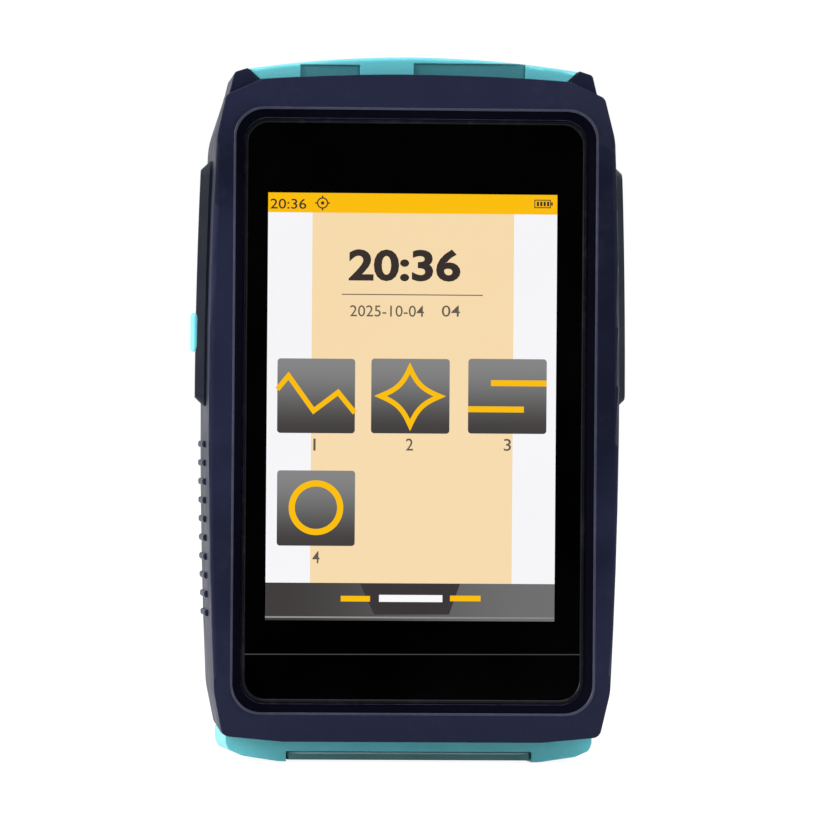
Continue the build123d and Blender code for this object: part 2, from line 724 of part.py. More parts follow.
def cavity():
    """Room inside the rear shell below the connector bay, bevelled at its rear edge."""
    sections = [rear_plane(y) * cavity_outline(inset) for y, inset in CAVITY_SECTIONS]
    return loft(sections, ruled=True)


def saddle_cut():
    """Everything above the seat of the top cover, between the ears."""
    ear = (EAR_TOP[0], EAR_TOP[1] + SADDLE_PAST)
    high = COVER_TOP_Z + FAR
    face = even_face(
        crown_arc(CROWN_END[0], CROWN_Z, CROWN_R),
        Line(CROWN_END, ear),
        Line(ear, (ear[0], high)),
        Line((ear[0], high), (0, high)),
    )
    notch = block(even(NOTCH_X), (NOTCH_Y, REAR_Y + PAST), (NOTCH_FLOOR_Z, high))
    corner = notch.edges().filter_by(Axis.X).group_by(Axis.Z)[0].sort_by(Axis.Y)[0]
    return prism(face, PARTING_Y - PAST, NOTCH_Y) + fillet(corner, NOTCH_R)


def side_ribs():
    """Ribs on both flanks, rooted in the wall and standing a little proud of it."""
    proud = rear_body(RIB_PROUD, RIB_PROUD)
    root = HALF_WIDE - RIB_ROOT
    ribs = []
    for i in range(RIB_COUNT):
        z = around(RIB_TOP_Z - i * RIB_PITCH, RIB_HIGH / 2)
        for side in (-1, 1):
            rib = proud & block(sorted((side * root, side * (root + FAR))), RIB_Y, z)
            flank = rib.faces().sort_by(Axis.X)[-1 if side > 0 else 0]
            long_edges = [e for e in flank.edges() if e.length > RIB_HIGH]
            ribs.append(chamfer(long_edges, RIB_BEVEL))
    return ribs


def shell_screw_cut(x, z):
    """Clearance hole and deep head recess of one shell screw, from the rear."""
    hole = rod((x, PARTING_Y, z), REAR_Y, SCREW_HOLE_R, "Y")
    return hole + rod((x, SCREW_SEAT_Y, z), REAR_Y + PAST, SCREW_HEAD_HOLE_R, "Y")


def bay_cuts():
    """The bay, the holes through its floor and the seats of the hinge pin."""
    floor_reach = (BAY_UNDER_Z - PAST, BAY_FLOOR_Z + PAST)
    cuts = rounded_block(even(BAY_X), BAY_Y, (BAY_FLOOR_Z, COVER_TOP_Z + FAR), BAY_R)
    for x in PORTS_X:
        cuts += rod((x, PORT_Y, floor_reach[0]), floor_reach[1], TAIL_R + TAIL_FLOOR_GAP, "Z")
    for x, y in plate_screw_places():
        cuts += rod((x, y, floor_reach[0]), floor_reach[1], PLATE_SCREW_PILOT_R, "Z")
    reach = NOTCH_X + HINGE_PIN_BITE + PIN_END_GAP
    return cuts + rod((-reach, HINGE_Y, HINGE_Z), reach, HINGE_PIN_R + SEAT_GAP, "X")


def rear_shell(core):
    """Rear shell: tub with bay, saddle, hinge shoulders, bosses, ribs and seats."""
    shell = core - cavity() - saddle_cut() - bay_cuts()
    posts = []
    for x, z in boss_places():
        posts.append(rod((x, PARTING_Y, z), INNER_REAR_Y + SINK, BOSS_R + BOSS_OVER, "Y") & core)
    shell += posts + battery_walls() + io_posts() + switch_slots()
    shell += side_ribs()
    for x, z in boss_places():
        shell -= shell_screw_cut(x, z)
    shell -= seal_groove()
    shell -= button_hole(BUTTON_GAP)
    shell -= socket_cuts()
    for x, z in io_screw_places():
        shell -= rod((x, IO_BOARD_Y[1], z), IO_BOARD_Y[1] + IO_PILOT[1], IO_PILOT[0], "Y")
    return shell


def seal_groove():
    """Step inside the rear shell's rim that takes the tongue and the seal."""
    outline = front_outline()
    outer = offset(outline, amount=TONGUE_WIDE + FIT_GAP - WALL)
    inner = offset(outline, amount=-WALL - SEAL_OPEN)
    return prism(below_bay(outer - inner), PARTING_Y - PAST, PARTING_Y + TONGUE_DEEP + SEAL_THICK)


def shell_seal():
    """Flat seal between the tongue and the bottom of its groove."""
    low = PARTING_Y + TONGUE_DEEP
    return prism(rim_band(), low, low + SEAL_THICK)


def shell_screws():
    """Four screws from the rear, heads deep in the bosses."""
    screws = []
    for x, z in boss_places():
        shank = rod((x, LEDGE_Y + PILOT_FLOOR + SCREW_END_GAP, z), SCREW_SEAT_Y, SCREW_R, "Y")
        screws.append(shank + rod((x, SCREW_SEAT_Y, z), SCREW_SEAT_Y + SCREW_HEAD_HIGH, SCREW_HEAD_R, "Y"))
    return Compound(children=screws)


# Glass and display


def bezel_ring():
    """Thin rounded ring round the glass."""
    outer = frame_rect(grown(GLASS, RING_WIDE + FIT_GAP), GLASS_R + RING_WIDE)
    inner = frame_rect(grown(GLASS, FIT_GAP), GLASS_R + FIT_GAP)
    ring = prism(outer - inner, GLASS_Y - RING_PROUD, LEDGE_Y)
    front = ring.faces().sort_by(Axis.Y)[0]
    return chamfer(front.edges(), RING_BEVEL)


def touch_glass():
    """Glass with a tiny bevel at its front edge."""
    glass = prism(frame_rect(GLASS, GLASS_R), GLASS_Y, GLASS_BACK_Y)
    return chamfer(glass.faces().sort_by(Axis.Y)[0].edges(), GLASS_BEVEL)


def glass_adhesive():
    """Adhesive band between glass and ledge, round the display."""
    low, high = widened(DISPLAY_Z, ADHESIVE_GAP)
    outer = frame_rect(grown(GLASS, -ADHESIVE_IN), GLASS_R)
    hole = Pos(0, (low + high) / 2) * Rectangle(2 * (DISPLAY_X + ADHESIVE_GAP), high - low)
    return prism(outer - hole, GLASS_BACK_Y, LEDGE_Y)


def lcd_panel():
    """Display stack against the glass, thinner at its foot where its tail is joined."""
    wide, tall, deep = DISPLAY_TAIL
    panel = block(even(DISPLAY_X), (GLASS_BACK_Y, DISPLAY_BACK_Y), DISPLAY_Z)
    tail = (DISPLAY_BACK_Y - deep, DISPLAY_BACK_Y)
    return panel - block(even(wide / 2), tail, (DISPLAY_Z[0], DISPLAY_Z[0] + tall))


def lcd_carrier():
    """Carrier: floor behind the display, rim up to the ledge, posts for the main board."""
    bottom, top = DISPLAY_Z[0] - CARRIER_FOOT, DISPLAY_Z[1] + CARRIER_RIM
    tray = rounded_block(even(CARRIER_X), (LEDGE_BACK_Y, CARRIER_BACK_Y), (bottom, top), CARRIER_R, Axis.Y)
    room = widened(even(DISPLAY_X), DISPLAY_SEAT_GAP)
    tray -= block(room, (FRONT_Y, DISPLAY_BACK_Y), widened(DISPLAY_Z, DISPLAY_SEAT_GAP))
    for x, z in board_screw_places():
        tray += rod((x, CARRIER_BACK_Y, z), BOARD_Y[0], POST_R, "Y")
        tray -= rod((x, DISPLAY_BACK_Y, z), BOARD_Y[0], POST_PILOT_R, "Y")
    wide, tall = CARRIER_WINDOW
    for z in (bottom + CARRIER_WINDOW_LOW, (bottom + top) / 2 + CARRIER_WINDOW_HIGH):
        tray -= block(even(wide / 2), (DISPLAY_BACK_Y, CARRIER_BACK_Y), (z, z + tall))
    return tray


# Grips and button


def grip(side, core):
    """Raised pad on one side: bevelled all round, fitted to the shell's flank."""
    proud = rear_body(GRIP_PROUD_FRONT, GRIP_PROUD_REAR)
    root = HALF_WIDE - GRIP_ROOT
    reach = sorted((side * root, side * (root + FAR)))
    pad = proud & rounded_block(reach, GRIP_Y, GRIP_Z, GRIP_CORNER_R, Axis.X)
    flank = pad.faces().sort_by(Axis.X)[-1 if side > 0 else 0]
    pad = chamfer(flank.edges(), GRIP_BEVEL) - core
    if side < 0:
        pad -= button_hole(BUTTON_GAP + BUTTON_PAD_GAP)
    return pad


def button_hole(gap):
    """Opening for the button through the left flank."""
    reach = (-HALF_WIDE - FAR, BUTTON_FLANGE_X[1])
    return rounded_block(reach, widened(BUTTON_Y, gap), widened(BUTTON_Z, gap), BUTTON_R + gap, Axis.X)


def power_button():
    """Button: rounded head through the wall and a flange that keeps it in."""
    head = rounded_block((BUTTON_TIP_X, BUTTON_FLANGE_X[0]), BUTTON_Y, BUTTON_Z, BUTTON_R, Axis.X)
    head = fillet(head.faces().sort_by(Axis.X)[0].edges(), BUTTON_EDGE_R)
    deep = (BUTTON_Y[0] + BUTTON_FLANGE_CUT, BUTTON_Y[1] + BUTTON_FLANGE_OVER)
    tall = widened(BUTTON_Z, BUTTON_FLANGE_OVER)
    return head + rounded_block(BUTTON_FLANGE_X, deep, tall, BUTTON_FLANGE_R, Axis.X)


def power_switch():
    """Tactile switch behind the button, plunger short of the flange."""
    y, z = SWITCH_MID
    front_x = SWITCH_TIP_X + SWITCH_PLUNGER
    half = SWITCH_SIDE / 2
    body = rounded_block((front_x, SWITCH_BOARD_X[0]), around(y, half), around(z, half), SWITCH_R, Axis.X)
    return body + rod((SWITCH_TIP_X, y, z), front_x, SWITCH_PLUNGER_R, "X")


def switch_board():
    """Small upright board that carries the switch."""
    y, z = SWITCH_MID
    return block(SWITCH_BOARD_X, (y - SWITCH_BOARD_FRONT, y + SWITCH_BOARD_REAR), around(z, SWITCH_BOARD_UP))


def switch_slots():
    """Two ribs on the left wall with slots for the switch board."""
    y, z = SWITCH_MID
    start = SWITCH_BOARD_UP - SLOT_BITE
    reach = (SLOT_ROOT - HALF_WIDE, SWITCH_BOARD_X[1] + SLOT_LIP)
    ribs = []
    for way in (-1, 1):
        rib_z = sorted((z + way * start, z + way * (start + SLOT_RIB)))
        slot_z = sorted((z + way * start, z + way * (SWITCH_BOARD_UP + SLOT_GAP)))
        rib = block(reach, (y - SLOT_FRONT, y + SWITCH_BOARD_REAR), rib_z)
        slot_y = (y - SLOT_FRONT - PAST, y + SWITCH_BOARD_REAR + PAST)
        ribs.append(rib - block(widened(SWITCH_BOARD_X, SLOT_GAP), slot_y, slot_z))
    return ribs


# Connector bay


def plate_screw_places():
    """Screws of the connector plate, in front of and behind the gaps between the flanges."""
    depths = (BAY_Y[0] + PLATE_SCREW_EDGE, BAY_Y[1] - PLATE_SCREW_EDGE)
    return [(side * PORT_X / 2, y) for side in (-1, 1) for y in depths]


def flange_screw_places():
    """Diagonal screw places of one connector flange, from its middle."""
    reach = FLANGE / 2 - FLANGE_SCREW_EDGE
    return [(-reach, reach), (reach, -reach)]


def port_panel():
    """Plate on the bay floor that carries the three optical connectors."""
    room = (widened(even(BAY_X), -PLATE_GAP), widened(BAY_Y, -PLATE_GAP))
    plate = rounded_block(*room, (BAY_FLOOR_Z, PLATE_TOP_Z), BAY_R - PLATE_R_LESS)
    low, high = BAY_FLOOR_Z - PAST, PLATE_TOP_Z + PAST
    for x in PORTS_X:
        plate -= rod((x, PORT_Y, low), high, TAIL_R + TAIL_HOLE_GAP, "Z")
        for dx, dy in flange_screw_places():
            plate -= rod((x + dx, PORT_Y + dy, low), high, FLANGE_SCREW_PILOT_R, "Z")
    for x, y in plate_screw_places():
        plate -= rod((x, y, low), high, PLATE_SCREW_HOLE_R, "Z")
    return plate


def adapter(x, barrel_r, barrel_wall, keyed):
    """Optical adapter: square flange, barrel with a relief at its foot, inner tube and a tail."""
    half = FLANGE / 2
    bore_r = barrel_r - barrel_wall
    over = BARREL_TOP_Z + PAST
    body = rounded_block(around(x, half), around(PORT_Y, half), (PLATE_TOP_Z, FLANGE_TOP_Z), FLANGE_R)
    barrel = rod((x, PORT_Y, FLANGE_TOP_Z + RELIEF_HIGH), BARREL_TOP_Z, barrel_r, "Z")
    body += chamfer(barrel.edges().group_by(Axis.Z)[-1], BARREL_BEVEL)
    body += rod((x, PORT_Y, FLANGE_TOP_Z), FLANGE_TOP_Z + RELIEF_HIGH, barrel_r - RELIEF_R_LESS, "Z")
    body -= rod((x, PORT_Y, FLANGE_TOP_Z - BARREL_FLOOR), over, bore_r, "Z")
    body += rod((x, PORT_Y, FLANGE_TOP_Z - BARREL_FLOOR), SLEEVE_TOP_Z - SLEEVE_PROUD, INNER_TUBE_R, "Z")
    body += rod((x, PORT_Y, TAIL_END_Z), PLATE_TOP_Z, TAIL_R, "Z")
    body -= rod((x, PORT_Y, SLEEVE_FOOT_Z), over, SLEEVE_OUT_R, "Z")
    body -= rod((x, PORT_Y, TAIL_END_Z - PAST), SLEEVE_FOOT_Z + SEAT_GAP, TAIL_BORE_R, "Z")
    if keyed:
        key_y = (PORT_Y + bore_r - SINK, PORT_Y + bore_r + KEY_BITE)
        body -= block(around(x, KEY_WIDE / 2), key_y, (BARREL_TOP_Z - KEY_DEEP, over))
    for dx, dy in flange_screw_places():
        body -= rod((x + dx, PORT_Y + dy, PLATE_TOP_Z - PAST), FLANGE_TOP_Z + PAST, FLANGE_SCREW_HOLE_R, "Z")
    return body


def sleeve(x):
    """Ceramic sleeve that lines up the ferrules."""
    tube = rod((x, PORT_Y, SLEEVE_FOOT_Z + SEAT_GAP), SLEEVE_TOP_Z, SLEEVE_OUT_R - SEAT_GAP, "Z")
    return tube - rod((x, PORT_Y, SLEEVE_FOOT_Z - PAST), SLEEVE_TOP_Z + PAST, SLEEVE_IN_R, "Z")


def upright_screw(x, y, z, shank_r, head_r, head_high, length):
    """Small screw whose head stands on z, its shank going down."""
    return rod((x, y, z), z + head_high, head_r, "Z") + rod((x, y, z - length), z, shank_r, "Z")


def adapter_screws():
    """Two screws for each of the three flanges."""
    sizes = (FLANGE_SCREW_R, FLANGE_SCREW_HEAD_R, FLANGE_SCREW_HEAD_HIGH, FLANGE_THICK + FLANGE_SCREW_BITE)
    screws = []
    for x in PORTS_X:
        for dx, dy in flange_screw_places():
            screws.append(upright_screw(x + dx, PORT_Y + dy, FLANGE_TOP_Z, *sizes))
    return Compound(children=screws)


def panel_screws():
    """Four screws that hold the plate on the bay floor."""
    sizes = (PLATE_SCREW_R, PLATE_SCREW_HEAD_R, PLATE_SCREW_HEAD_HIGH, PLATE_THICK + PLATE_SCREW_BITE)
    return Compound(children=[upright_screw(x, y, PLATE_TOP_Z, *sizes) for x, y in plate_screw_places()])


def receiver(x, size):
    """Round can behind a connector tail, with its rim and three leads."""
    radius, length = size
    foot = TAIL_END_Z - length
    can = rod((x, PORT_Y, foot), TAIL_END_Z, radius, "Z")
    can += rod((x, PORT_Y, foot), foot + CAN_RIM, radius + CAN_RIM, "Z")
    for place in (x - CAN_LEAD_PITCH, x, x + CAN_LEAD_PITCH):
        can += rod((place, PORT_Y, foot - CAN_LEAD_LONG), foot, CAN_LEAD_R, "Z")
    return can


# Top cover


def hollow_face():
    """Front view of the cover's hollow: its crown is a wall's thickness under the cover's own."""
    x_end = BAY_X - HOLLOW_IN
    top = COVER_TOP_Z - COVER_WALL
    foot = CROWN_Z - HOLLOW_DROP
    return even_face(
        Line((0, foot), (x_end, foot)),
        Line((x_end, foot), (x_end, arc_z(x_end, top, COVER_R))),
        crown_arc(x_end, top, COVER_R),
    )


def cover_profile():
    """Front view of the cover: crowned top, crowned seat and sloping ends against the ears."""
    seat_top = CROWN_Z + COVER_GAP
    seat_end = CROWN_END[0] - COVER_SEAT_IN
    return even_face(
        crown_arc(seat_end, seat_top, CROWN_R),
        Line((seat_end, arc_z(seat_end, seat_top, CROWN_R)), (COVER_WING_X, COVER_END_Z)),
        crown_arc(COVER_WING_X, COVER_TOP_Z, COVER_R),
    )


def cover_lid():
    """Outside of the cover: wings between the ears, a narrower tail in the notch, rounded top edges."""
    face = cover_profile()
    tail = prism(face, *COVER_Y) & block(even(KNUCKLE_X), COVER_Y, (NOTCH_FLOOR_Z, COVER_TOP_Z + PAST))
    lid = prism(face, COVER_Y[0], NOTCH_Y - NOTCH_GAP) + tail
    above = CROWN_Z + COVER_HIGH / 2
    rear = [e for e in lid.edges() if e.center().Y > COVER_Y[1] - NEAR and e.center().Z > CROWN_Z + PAST]
    lid = fillet(rear, COVER_REAR_R)
    front = [e for e in lid.edges() if e.center().Y < COVER_Y[0] + NEAR and e.center().Z > above]
    return fillet(front, COVER_EDGE_R)


def top_port_cover():
    """Hinged cover: crowned lid, hollow inside, skirt into the bay, knuckle at the rear."""
    skirt = rounded_block(
        widened(even(BAY_X), -SKIRT_SIDE_GAP),
        widened(BAY_Y, -SKIRT_GAP),
        (CROWN_Z - SKIRT_DEEP, CROWN_Z + SKIRT_LAP),
        SKIRT_R,
    )
    knuckle = rod((-KNUCKLE_X, HINGE_Y, HINGE_Z), KNUCKLE_X, KNUCKLE_R, "X")
    cover = cover_lid() + skirt + knuckle - prism(hollow_face(), *widened(BAY_Y, -HOLLOW_IN))
    cover -= rod((-KNUCKLE_X - PAST, HINGE_Y, HINGE_Z), KNUCKLE_X + PAST, HINGE_PIN_R + HINGE_PIN_GAP, "X")
    deep = (COVER_Y[0] - PAST, COVER_Y[0] + PATCH_DEEP)
    for x_from, x_to, high in PATCHES:
        cover -= block((x_from, x_to), deep, (CROWN_END[1] - PAST, CROWN_Z + high))
    return cover


def cover_hinge_pin():
    """Pin through the cover's knuckle, ends in the shell's shoulders."""
    reach = NOTCH_X + HINGE_PIN_BITE
    pin = rod((-reach, HINGE_Y, HINGE_Z), reach, HINGE_PIN_R, "X")
    return chamfer(pin.edges().filter_by(GeomType.CIRCLE), HINGE_PIN_BEVEL)


# Foot


def bumper_face():
    """Front view of the foot bumper: flat foot and rising, rounded corners."""
    corners = [(BUMPER_X - inset, z) for inset, z, _ in BUMPER_STEPS]
    points = [(0, 0), *corners, (BUMPER_X, BUMPER_HIGH), (0, BUMPER_HIGH)]
    face = even_face(*(Line(start, end) for start, end in zip(points, points[1:])))
    return round_corners(face, [(BUMPER_X - inset, z, radius) for inset, z, radius in BUMPER_STEPS])


def bottom_cap(core):
    """Foot bumper with the pit for the sockets and the seat of the flap."""
    cap = prism(bumper_face(), *BUMPER_Y)
    lowest = BUMPER_HIGH - PAST
    rear = [e for e in cap.edges() if e.center().Y > BUMPER_Y[1] - NEAR and e.center().Z < lowest]
    cap = fillet(rear, BUMPER_REAR_R) - core
    seat = even(FLAP_X + FLAP_GAP)
    below = -PAST
    cap -= block(seat, (BUMPER_Y[0] - PAST, FLAP_PIN_Y), (below, FLAP_Z[1] + FLAP_GAP / 2))
    knuckle_y = (FLAP_PIN_Y - FLAP_KNUCKLE_R - FLAP_KNUCKLE_GAP, FLAP_PIN_Y + FLAP_KNUCKLE_R + FLAP_GAP)
    cap -= block(seat, knuckle_y, (below, FLAP_PIN_Z + FLAP_KNUCKLE_R + FLAP_GAP))
    cap -= rounded_block(even(PIT_X), PIT_Y, (below, BUMPER_HIGH + PAST), PIT_R)
    reach = seat[1] + FLAP_PIN_BITE + PIN_END_GAP
    return cap - rod((-reach, FLAP_PIN_Y, FLAP_PIN_Z), reach, FLAP_PIN_R + SEAT_GAP, "X")


def charge_port_flap():
    """Flap over the sockets, hinged at its rear edge, with a hollow plug into the pit."""
    plate = rounded_block(even(FLAP_X), (FLAP_FRONT_Y, FLAP_PIN_Y), FLAP_Z, FLAP_R)
    plug_x = widened(even(PIT_X), -PLUG_GAP)
    plug_y = (PIT_Y[0] + PLUG_GAP, PIT_Y[1] - PLUG_REAR_GAP)
    top = FLAP_Z[1] + PLUG_HIGH
    plug = rounded_block(plug_x, plug_y, (FLAP_Z[1] - PLUG_SINK, top), PLUG_R)
    inside = (widened(plug_x, -PLUG_WALL), widened(plug_y, -PLUG_WALL), (FLAP_Z[1], top + PAST))
    plug -= rounded_block(*inside, PLUG_IN_R)
    knuckle = rod((-FLAP_X, FLAP_PIN_Y, FLAP_PIN_Z), FLAP_X, FLAP_KNUCKLE_R, "X")
    bore = rod((-FLAP_X - PAST, FLAP_PIN_Y, FLAP_PIN_Z), FLAP_X + PAST, FLAP_PIN_R + HINGE_PIN_GAP, "X")
    return plate + plug + knuckle - bore


def flap_hinge_pin():
    """Pin of the foot flap."""
    end = FLAP_X + FLAP_GAP + FLAP_PIN_BITE
    return rod((-end, FLAP_PIN_Y, FLAP_PIN_Z), end, FLAP_PIN_R, "X")


# Sockets and their board


def usb_tube(gap, z_from, z_to):
    """Rounded tube section of the charge socket, grown by a gap."""
    wide, deep = grown(USB_SIZE, gap)
    face = Plane(origin=(USB_X, USB_Y, z_from), z_dir=(0, 0, 1)) * SlotOverall(wide, deep)
    return extrude(face, amount=z_to - z_from)


def socket_cuts():
    """Openings for both sockets in the foot wall of the rear shell."""
    deep = (CARD_Y[0] - SOCKET_GAP, CARD_Y[1] + SOCKET_GAP / 2)
    card = block(around(CARD_X, CARD_SIZE[0] / 2 + SOCKET_GAP), deep, SOCKET_CUT_Z)
    return usb_tube(SOCKET_GAP, *SOCKET_CUT_Z) + card


def usb_c_socket():
    """Charge socket: oval metal tube, closed at its inner end, with its tongue."""
    top = USB_MOUTH_Z + USB_LONG
    inner_top = top - USB_BACK
    shell = usb_tube(0, USB_MOUTH_Z, top) - usb_tube(-USB_WALL, USB_MOUTH_Z - PAST, inner_top)
    wide, thick = USB_TONGUE
    tongue_z = (USB_MOUTH_Z + USB_TONGUE_IN, inner_top)
    return shell + block(around(USB_X, wide / 2), around(USB_Y, thick / 2), tongue_z)


def memory_card_socket():
    """Card socket: flat can with the card slot at its lower end."""
    can = block(around(CARD_X, CARD_SIZE[0] / 2), CARD_Y, (CARD_MOUTH_Z, CARD_MOUTH_Z + CARD_LONG))
    wide, tall = CARD_SLOT
    deep = (CARD_Y[0] + CARD_WALL[0], CARD_Y[1] - CARD_WALL[1])
    return can - block(around(CARD_X, wide / 2), deep, (CARD_MOUTH_Z - PAST, CARD_MOUTH_Z + tall))


def io_screw_places():
    """Screw places of the socket board."""
    return [(side * (IO_BOARD_X - IO_SCREW_EDGE), IO_BOARD_Z[1] - IO_SCREW_DROP) for side in (-1, 1)]


def io_posts():
    """Posts on the rear wall that carry the socket board."""
    top = INNER_REAR_Y + ROOT
    return [rod((x, IO_BOARD_Y[1], z), top, IO_POST_R, "Y") for x, z in io_screw_places()]


def drilled(board, places, board_y, radius):
    """A board with a hole at each screw place."""
    for x, z in places:
        board -= rod((x, board_y[0] - PAST, z), board_y[1] + PAST, radius, "Y")
    return board


def io_board():
    """Board that carries both sockets."""
    board = rounded_block(even(IO_BOARD_X), IO_BOARD_Y, IO_BOARD_Z, IO_BOARD_R, Axis.Y)
    return drilled(board, io_screw_places(), IO_BOARD_Y, BOARD_SCREW_R + BOARD_HOLE_GAP)


def level_screw(x, y, z, way, length):
    """Board screw along Y: its head on plane y, on the side given by way."""
    head = rod((x, y, z), y + way * BOARD_SCREW_HEAD_HIGH, BOARD_SCREW_HEAD_R, "Y")
    return head + rod((x, y - way * length, z), y, BOARD_SCREW_R, "Y")


def io_screws():
    """Two screws of the socket board."""
    screws = [level_screw(x, IO_BOARD_Y[0], z, -1, IO_SCREW_LONG) for x, z in io_screw_places()]
    return Compound(children=screws)


# Boards, module, battery


def board_screw_places():
    """Screw places of the main board."""
    heights = (BOARD_Z[0] + BOARD_SCREW_LIFT, BOARD_Z[1] - BOARD_SCREW_EDGE)
    return [(side * (BOARD_X - BOARD_SCREW_EDGE), z) for side in (-1, 1) for z in heights]


def main_board():
    """Main board with its corner holes."""
    board = rounded_block(even(BOARD_X), BOARD_Y, BOARD_Z, BOARD_R, Axis.Y)
    return drilled(board, board_screw_places(), BOARD_Y, BOARD_SCREW_R + MAIN_HOLE_GAP)


def board_screws():
    """Four screws of the main board."""
    screws = [level_screw(x, BOARD_Y[1], z, 1, BOARD_SCREW_LONG) for x, z in board_screw_places()]
    return Compound(children=screws)


def board_shields():
    """Three metal cans on the front of the main board."""
    front = BOARD_Y[0] - SHIELD_HIGH
    cans = []
    for left, right, low, high in SHIELDS:
        x, z = (left, right), (BOARD_Z[0] + low, BOARD_Z[0] + high)
        can = rounded_block(x, (front, BOARD_Y[0]), z, SHIELD_R, Axis.Y)
        inside = (front + SHIELD_WALL, BOARD_Y[0] + PAST)
        cans.append(can - block(widened(x, -SHIELD_WALL), inside, widened(z, -SHIELD_WALL)))
    return Compound(children=cans)


def beeper():
    """Round beeper on the rear face of the main board, near its foot."""
    z = BOARD_Z[0] + BEEPER_LIFT
    top = BOARD_Y[1] + BEEPER_HIGH
    hole_r, hole_deep = BEEPER_HOLE
    return rod((0, BOARD_Y[1], z), top, BEEPER_R, "Y") - rod((0, top - hole_deep, z), top + PAST, hole_r, "Y")


def fibre_tray():
    """Flat tray for the launch fibre between main board and optical module, on four feet."""
    half_wide, half_tall = COIL_R + TRAY_SIDE, COIL_R + TRAY_END
    floor = TRAY_Y[1] - TRAY_FLOOR
    start = (0, TRAY_Y[0] - PAST, TRAY_MID_Z)
    tray = rounded_block(even(half_wide), TRAY_Y, around(TRAY_MID_Z, half_tall), TRAY_R, Axis.Y)
    ring = rod(start, floor, COIL_R + COIL_THICK / 2 + COIL_OUT_GAP, "Y")
    tray -= ring - rod(start, floor, COIL_R - COIL_THICK / 2 - COIL_IN_GAP, "Y")
    inset, foot_r, sink = TRAY_FOOT
    for x in even(half_wide - inset):
        for z in around(TRAY_MID_Z, half_tall - inset):
            tray += rod((x, BOARD_Y[1], z), TRAY_Y[0] + sink, foot_r, "Y")
    return tray


def fibre_coil():
    """Wound fibre, lying in the tray's groove."""
    floor = TRAY_Y[1] - TRAY_FLOOR
    outer = rod((0, floor - COIL_THICK, TRAY_MID_Z), floor, COIL_R + COIL_THICK / 2, "Y")
    return outer - rod((0, TRAY_Y[0], TRAY_MID_Z), floor, COIL_R - COIL_THICK / 2, "Y")


def otdr_module():
    """Optical module: finned metal case with a nose for its fibre."""
    case = rounded_block(even(MODULE_X), MODULE_Y, MODULE_Z, MODULE_R, Axis.Y)
    wide, deep, end = FIN_SLOT
    side_count = int((MODULE_X - FIN_EDGE) / FIN_PITCH)
    for i in range(-side_count, side_count + 1):
        slot_y = (MODULE_Y[1] - deep, MODULE_Y[1] + PAST)
        case -= block(around(i * FIN_PITCH, wide / 2), slot_y, widened(MODULE_Z, -end))
    top = MODULE_Z[1]
    case += rod((PORT_X, PORT_Y, top), top + NOSE_LONG, NOSE_R, "Z")
    return case - rod((PORT_X, PORT_Y, top + NOSE_FLOOR), top + NOSE_LONG + PAST, NOSE_BORE_R, "Z")


def otdr_pigtail():
    """Short buffered fibre from the module's nose to the adapter's tail."""
    foot = MODULE_Z[1] + NOSE_FLOOR + PIGTAIL_GAP
    return rod((PORT_X, PORT_Y, foot), SLEEVE_FOOT_Z - PIGTAIL_END_GAP, PIGTAIL_R, "Z")


def battery_walls():
    """Low walls on the rear wall that locate the battery pack."""
    gap, thick, back = BATTERY_RIB
    y = (BATTERY_Y[0] + back, INNER_REAR_Y + ROOT)
    walls = []
    for side in (-1, 1):
        x = sorted((side * (BATTERY_X + gap), side * (BATTERY_X + gap + thick)))
        for foot in (BATTERY_Z[0] + BATTERY_RIB_LOW, BATTERY_Z[1] - BATTERY_RIB_HIGH):
            walls.append(block(x, y, (foot, foot + BATTERY_RIB_LONG)))
    for z in (BATTERY_Z[0] - gap - thick, BATTERY_Z[1] + gap):
        walls.append(block(even(BATTERY_END_RIB / 2), y, (z, z + thick)))
    return walls


def battery_pack():
    """Flat pack in its wrap: rounded sides and a thinner end with the circuit."""
    tall, side, deep = BATTERY_STEP
    shoulder = BATTERY_Z[1] - tall
    pack = rounded_block(even(BATTERY_X), BATTERY_Y, (BATTERY_Z[0], shoulder), BATTERY_R, Axis.Z)
    return pack + block(widened(even(BATTERY_X), -side), widened(BATTERY_Y, -deep), (shoulder, BATTERY_Z[1]))


def battery_pads():
    """Foam pads in front of and behind the pack."""
    wide, tall, low, high = PAD_FRONT
    feet = (MODULE_Z[0] + low, MODULE_Z[1] - high)
    pads = [block(even(wide / 2), (MODULE_Y[1], BATTERY_Y[0]), (z, z + tall)) for z in feet]
    wide, tall, low, high = PAD_REAR
    feet = (BATTERY_Z[0] + low, BATTERY_Z[1] - high)
    pads += [block(even(wide / 2), (BATTERY_Y[1], INNER_REAR_Y), (z, z + tall)) for z in feet]
    return Compound(children=pads)


# Output


def outer_nodes():
    """The housing and what shows on it, by name."""
    front_core = front_block()
    rear_core = rear_body(0, 0)
    return {
        "front_shell": front_shell(front_core),
        "rear_shell": rear_shell(rear_core),
        "shell_seal": shell_seal(),
        "shell_screws": shell_screws(),
        "bezel_ring": bezel_ring(),
        "touch_glass": touch_glass(),
        "glass_adhesive": glass_adhesive(),
        "left_side_grip": grip(-1, rear_core),
        "right_side_grip": grip(1, rear_core),
        "power_button": power_button(),
        "top_port_cover": top_port_cover(),
        "cover_hinge_pin": cover_hinge_pin(),
        "bottom_cap": bottom_cap(rear_core),
        "charge_port_flap": charge_port_flap(),
        "flap_hinge_pin": flap_hinge_pin(),
    }


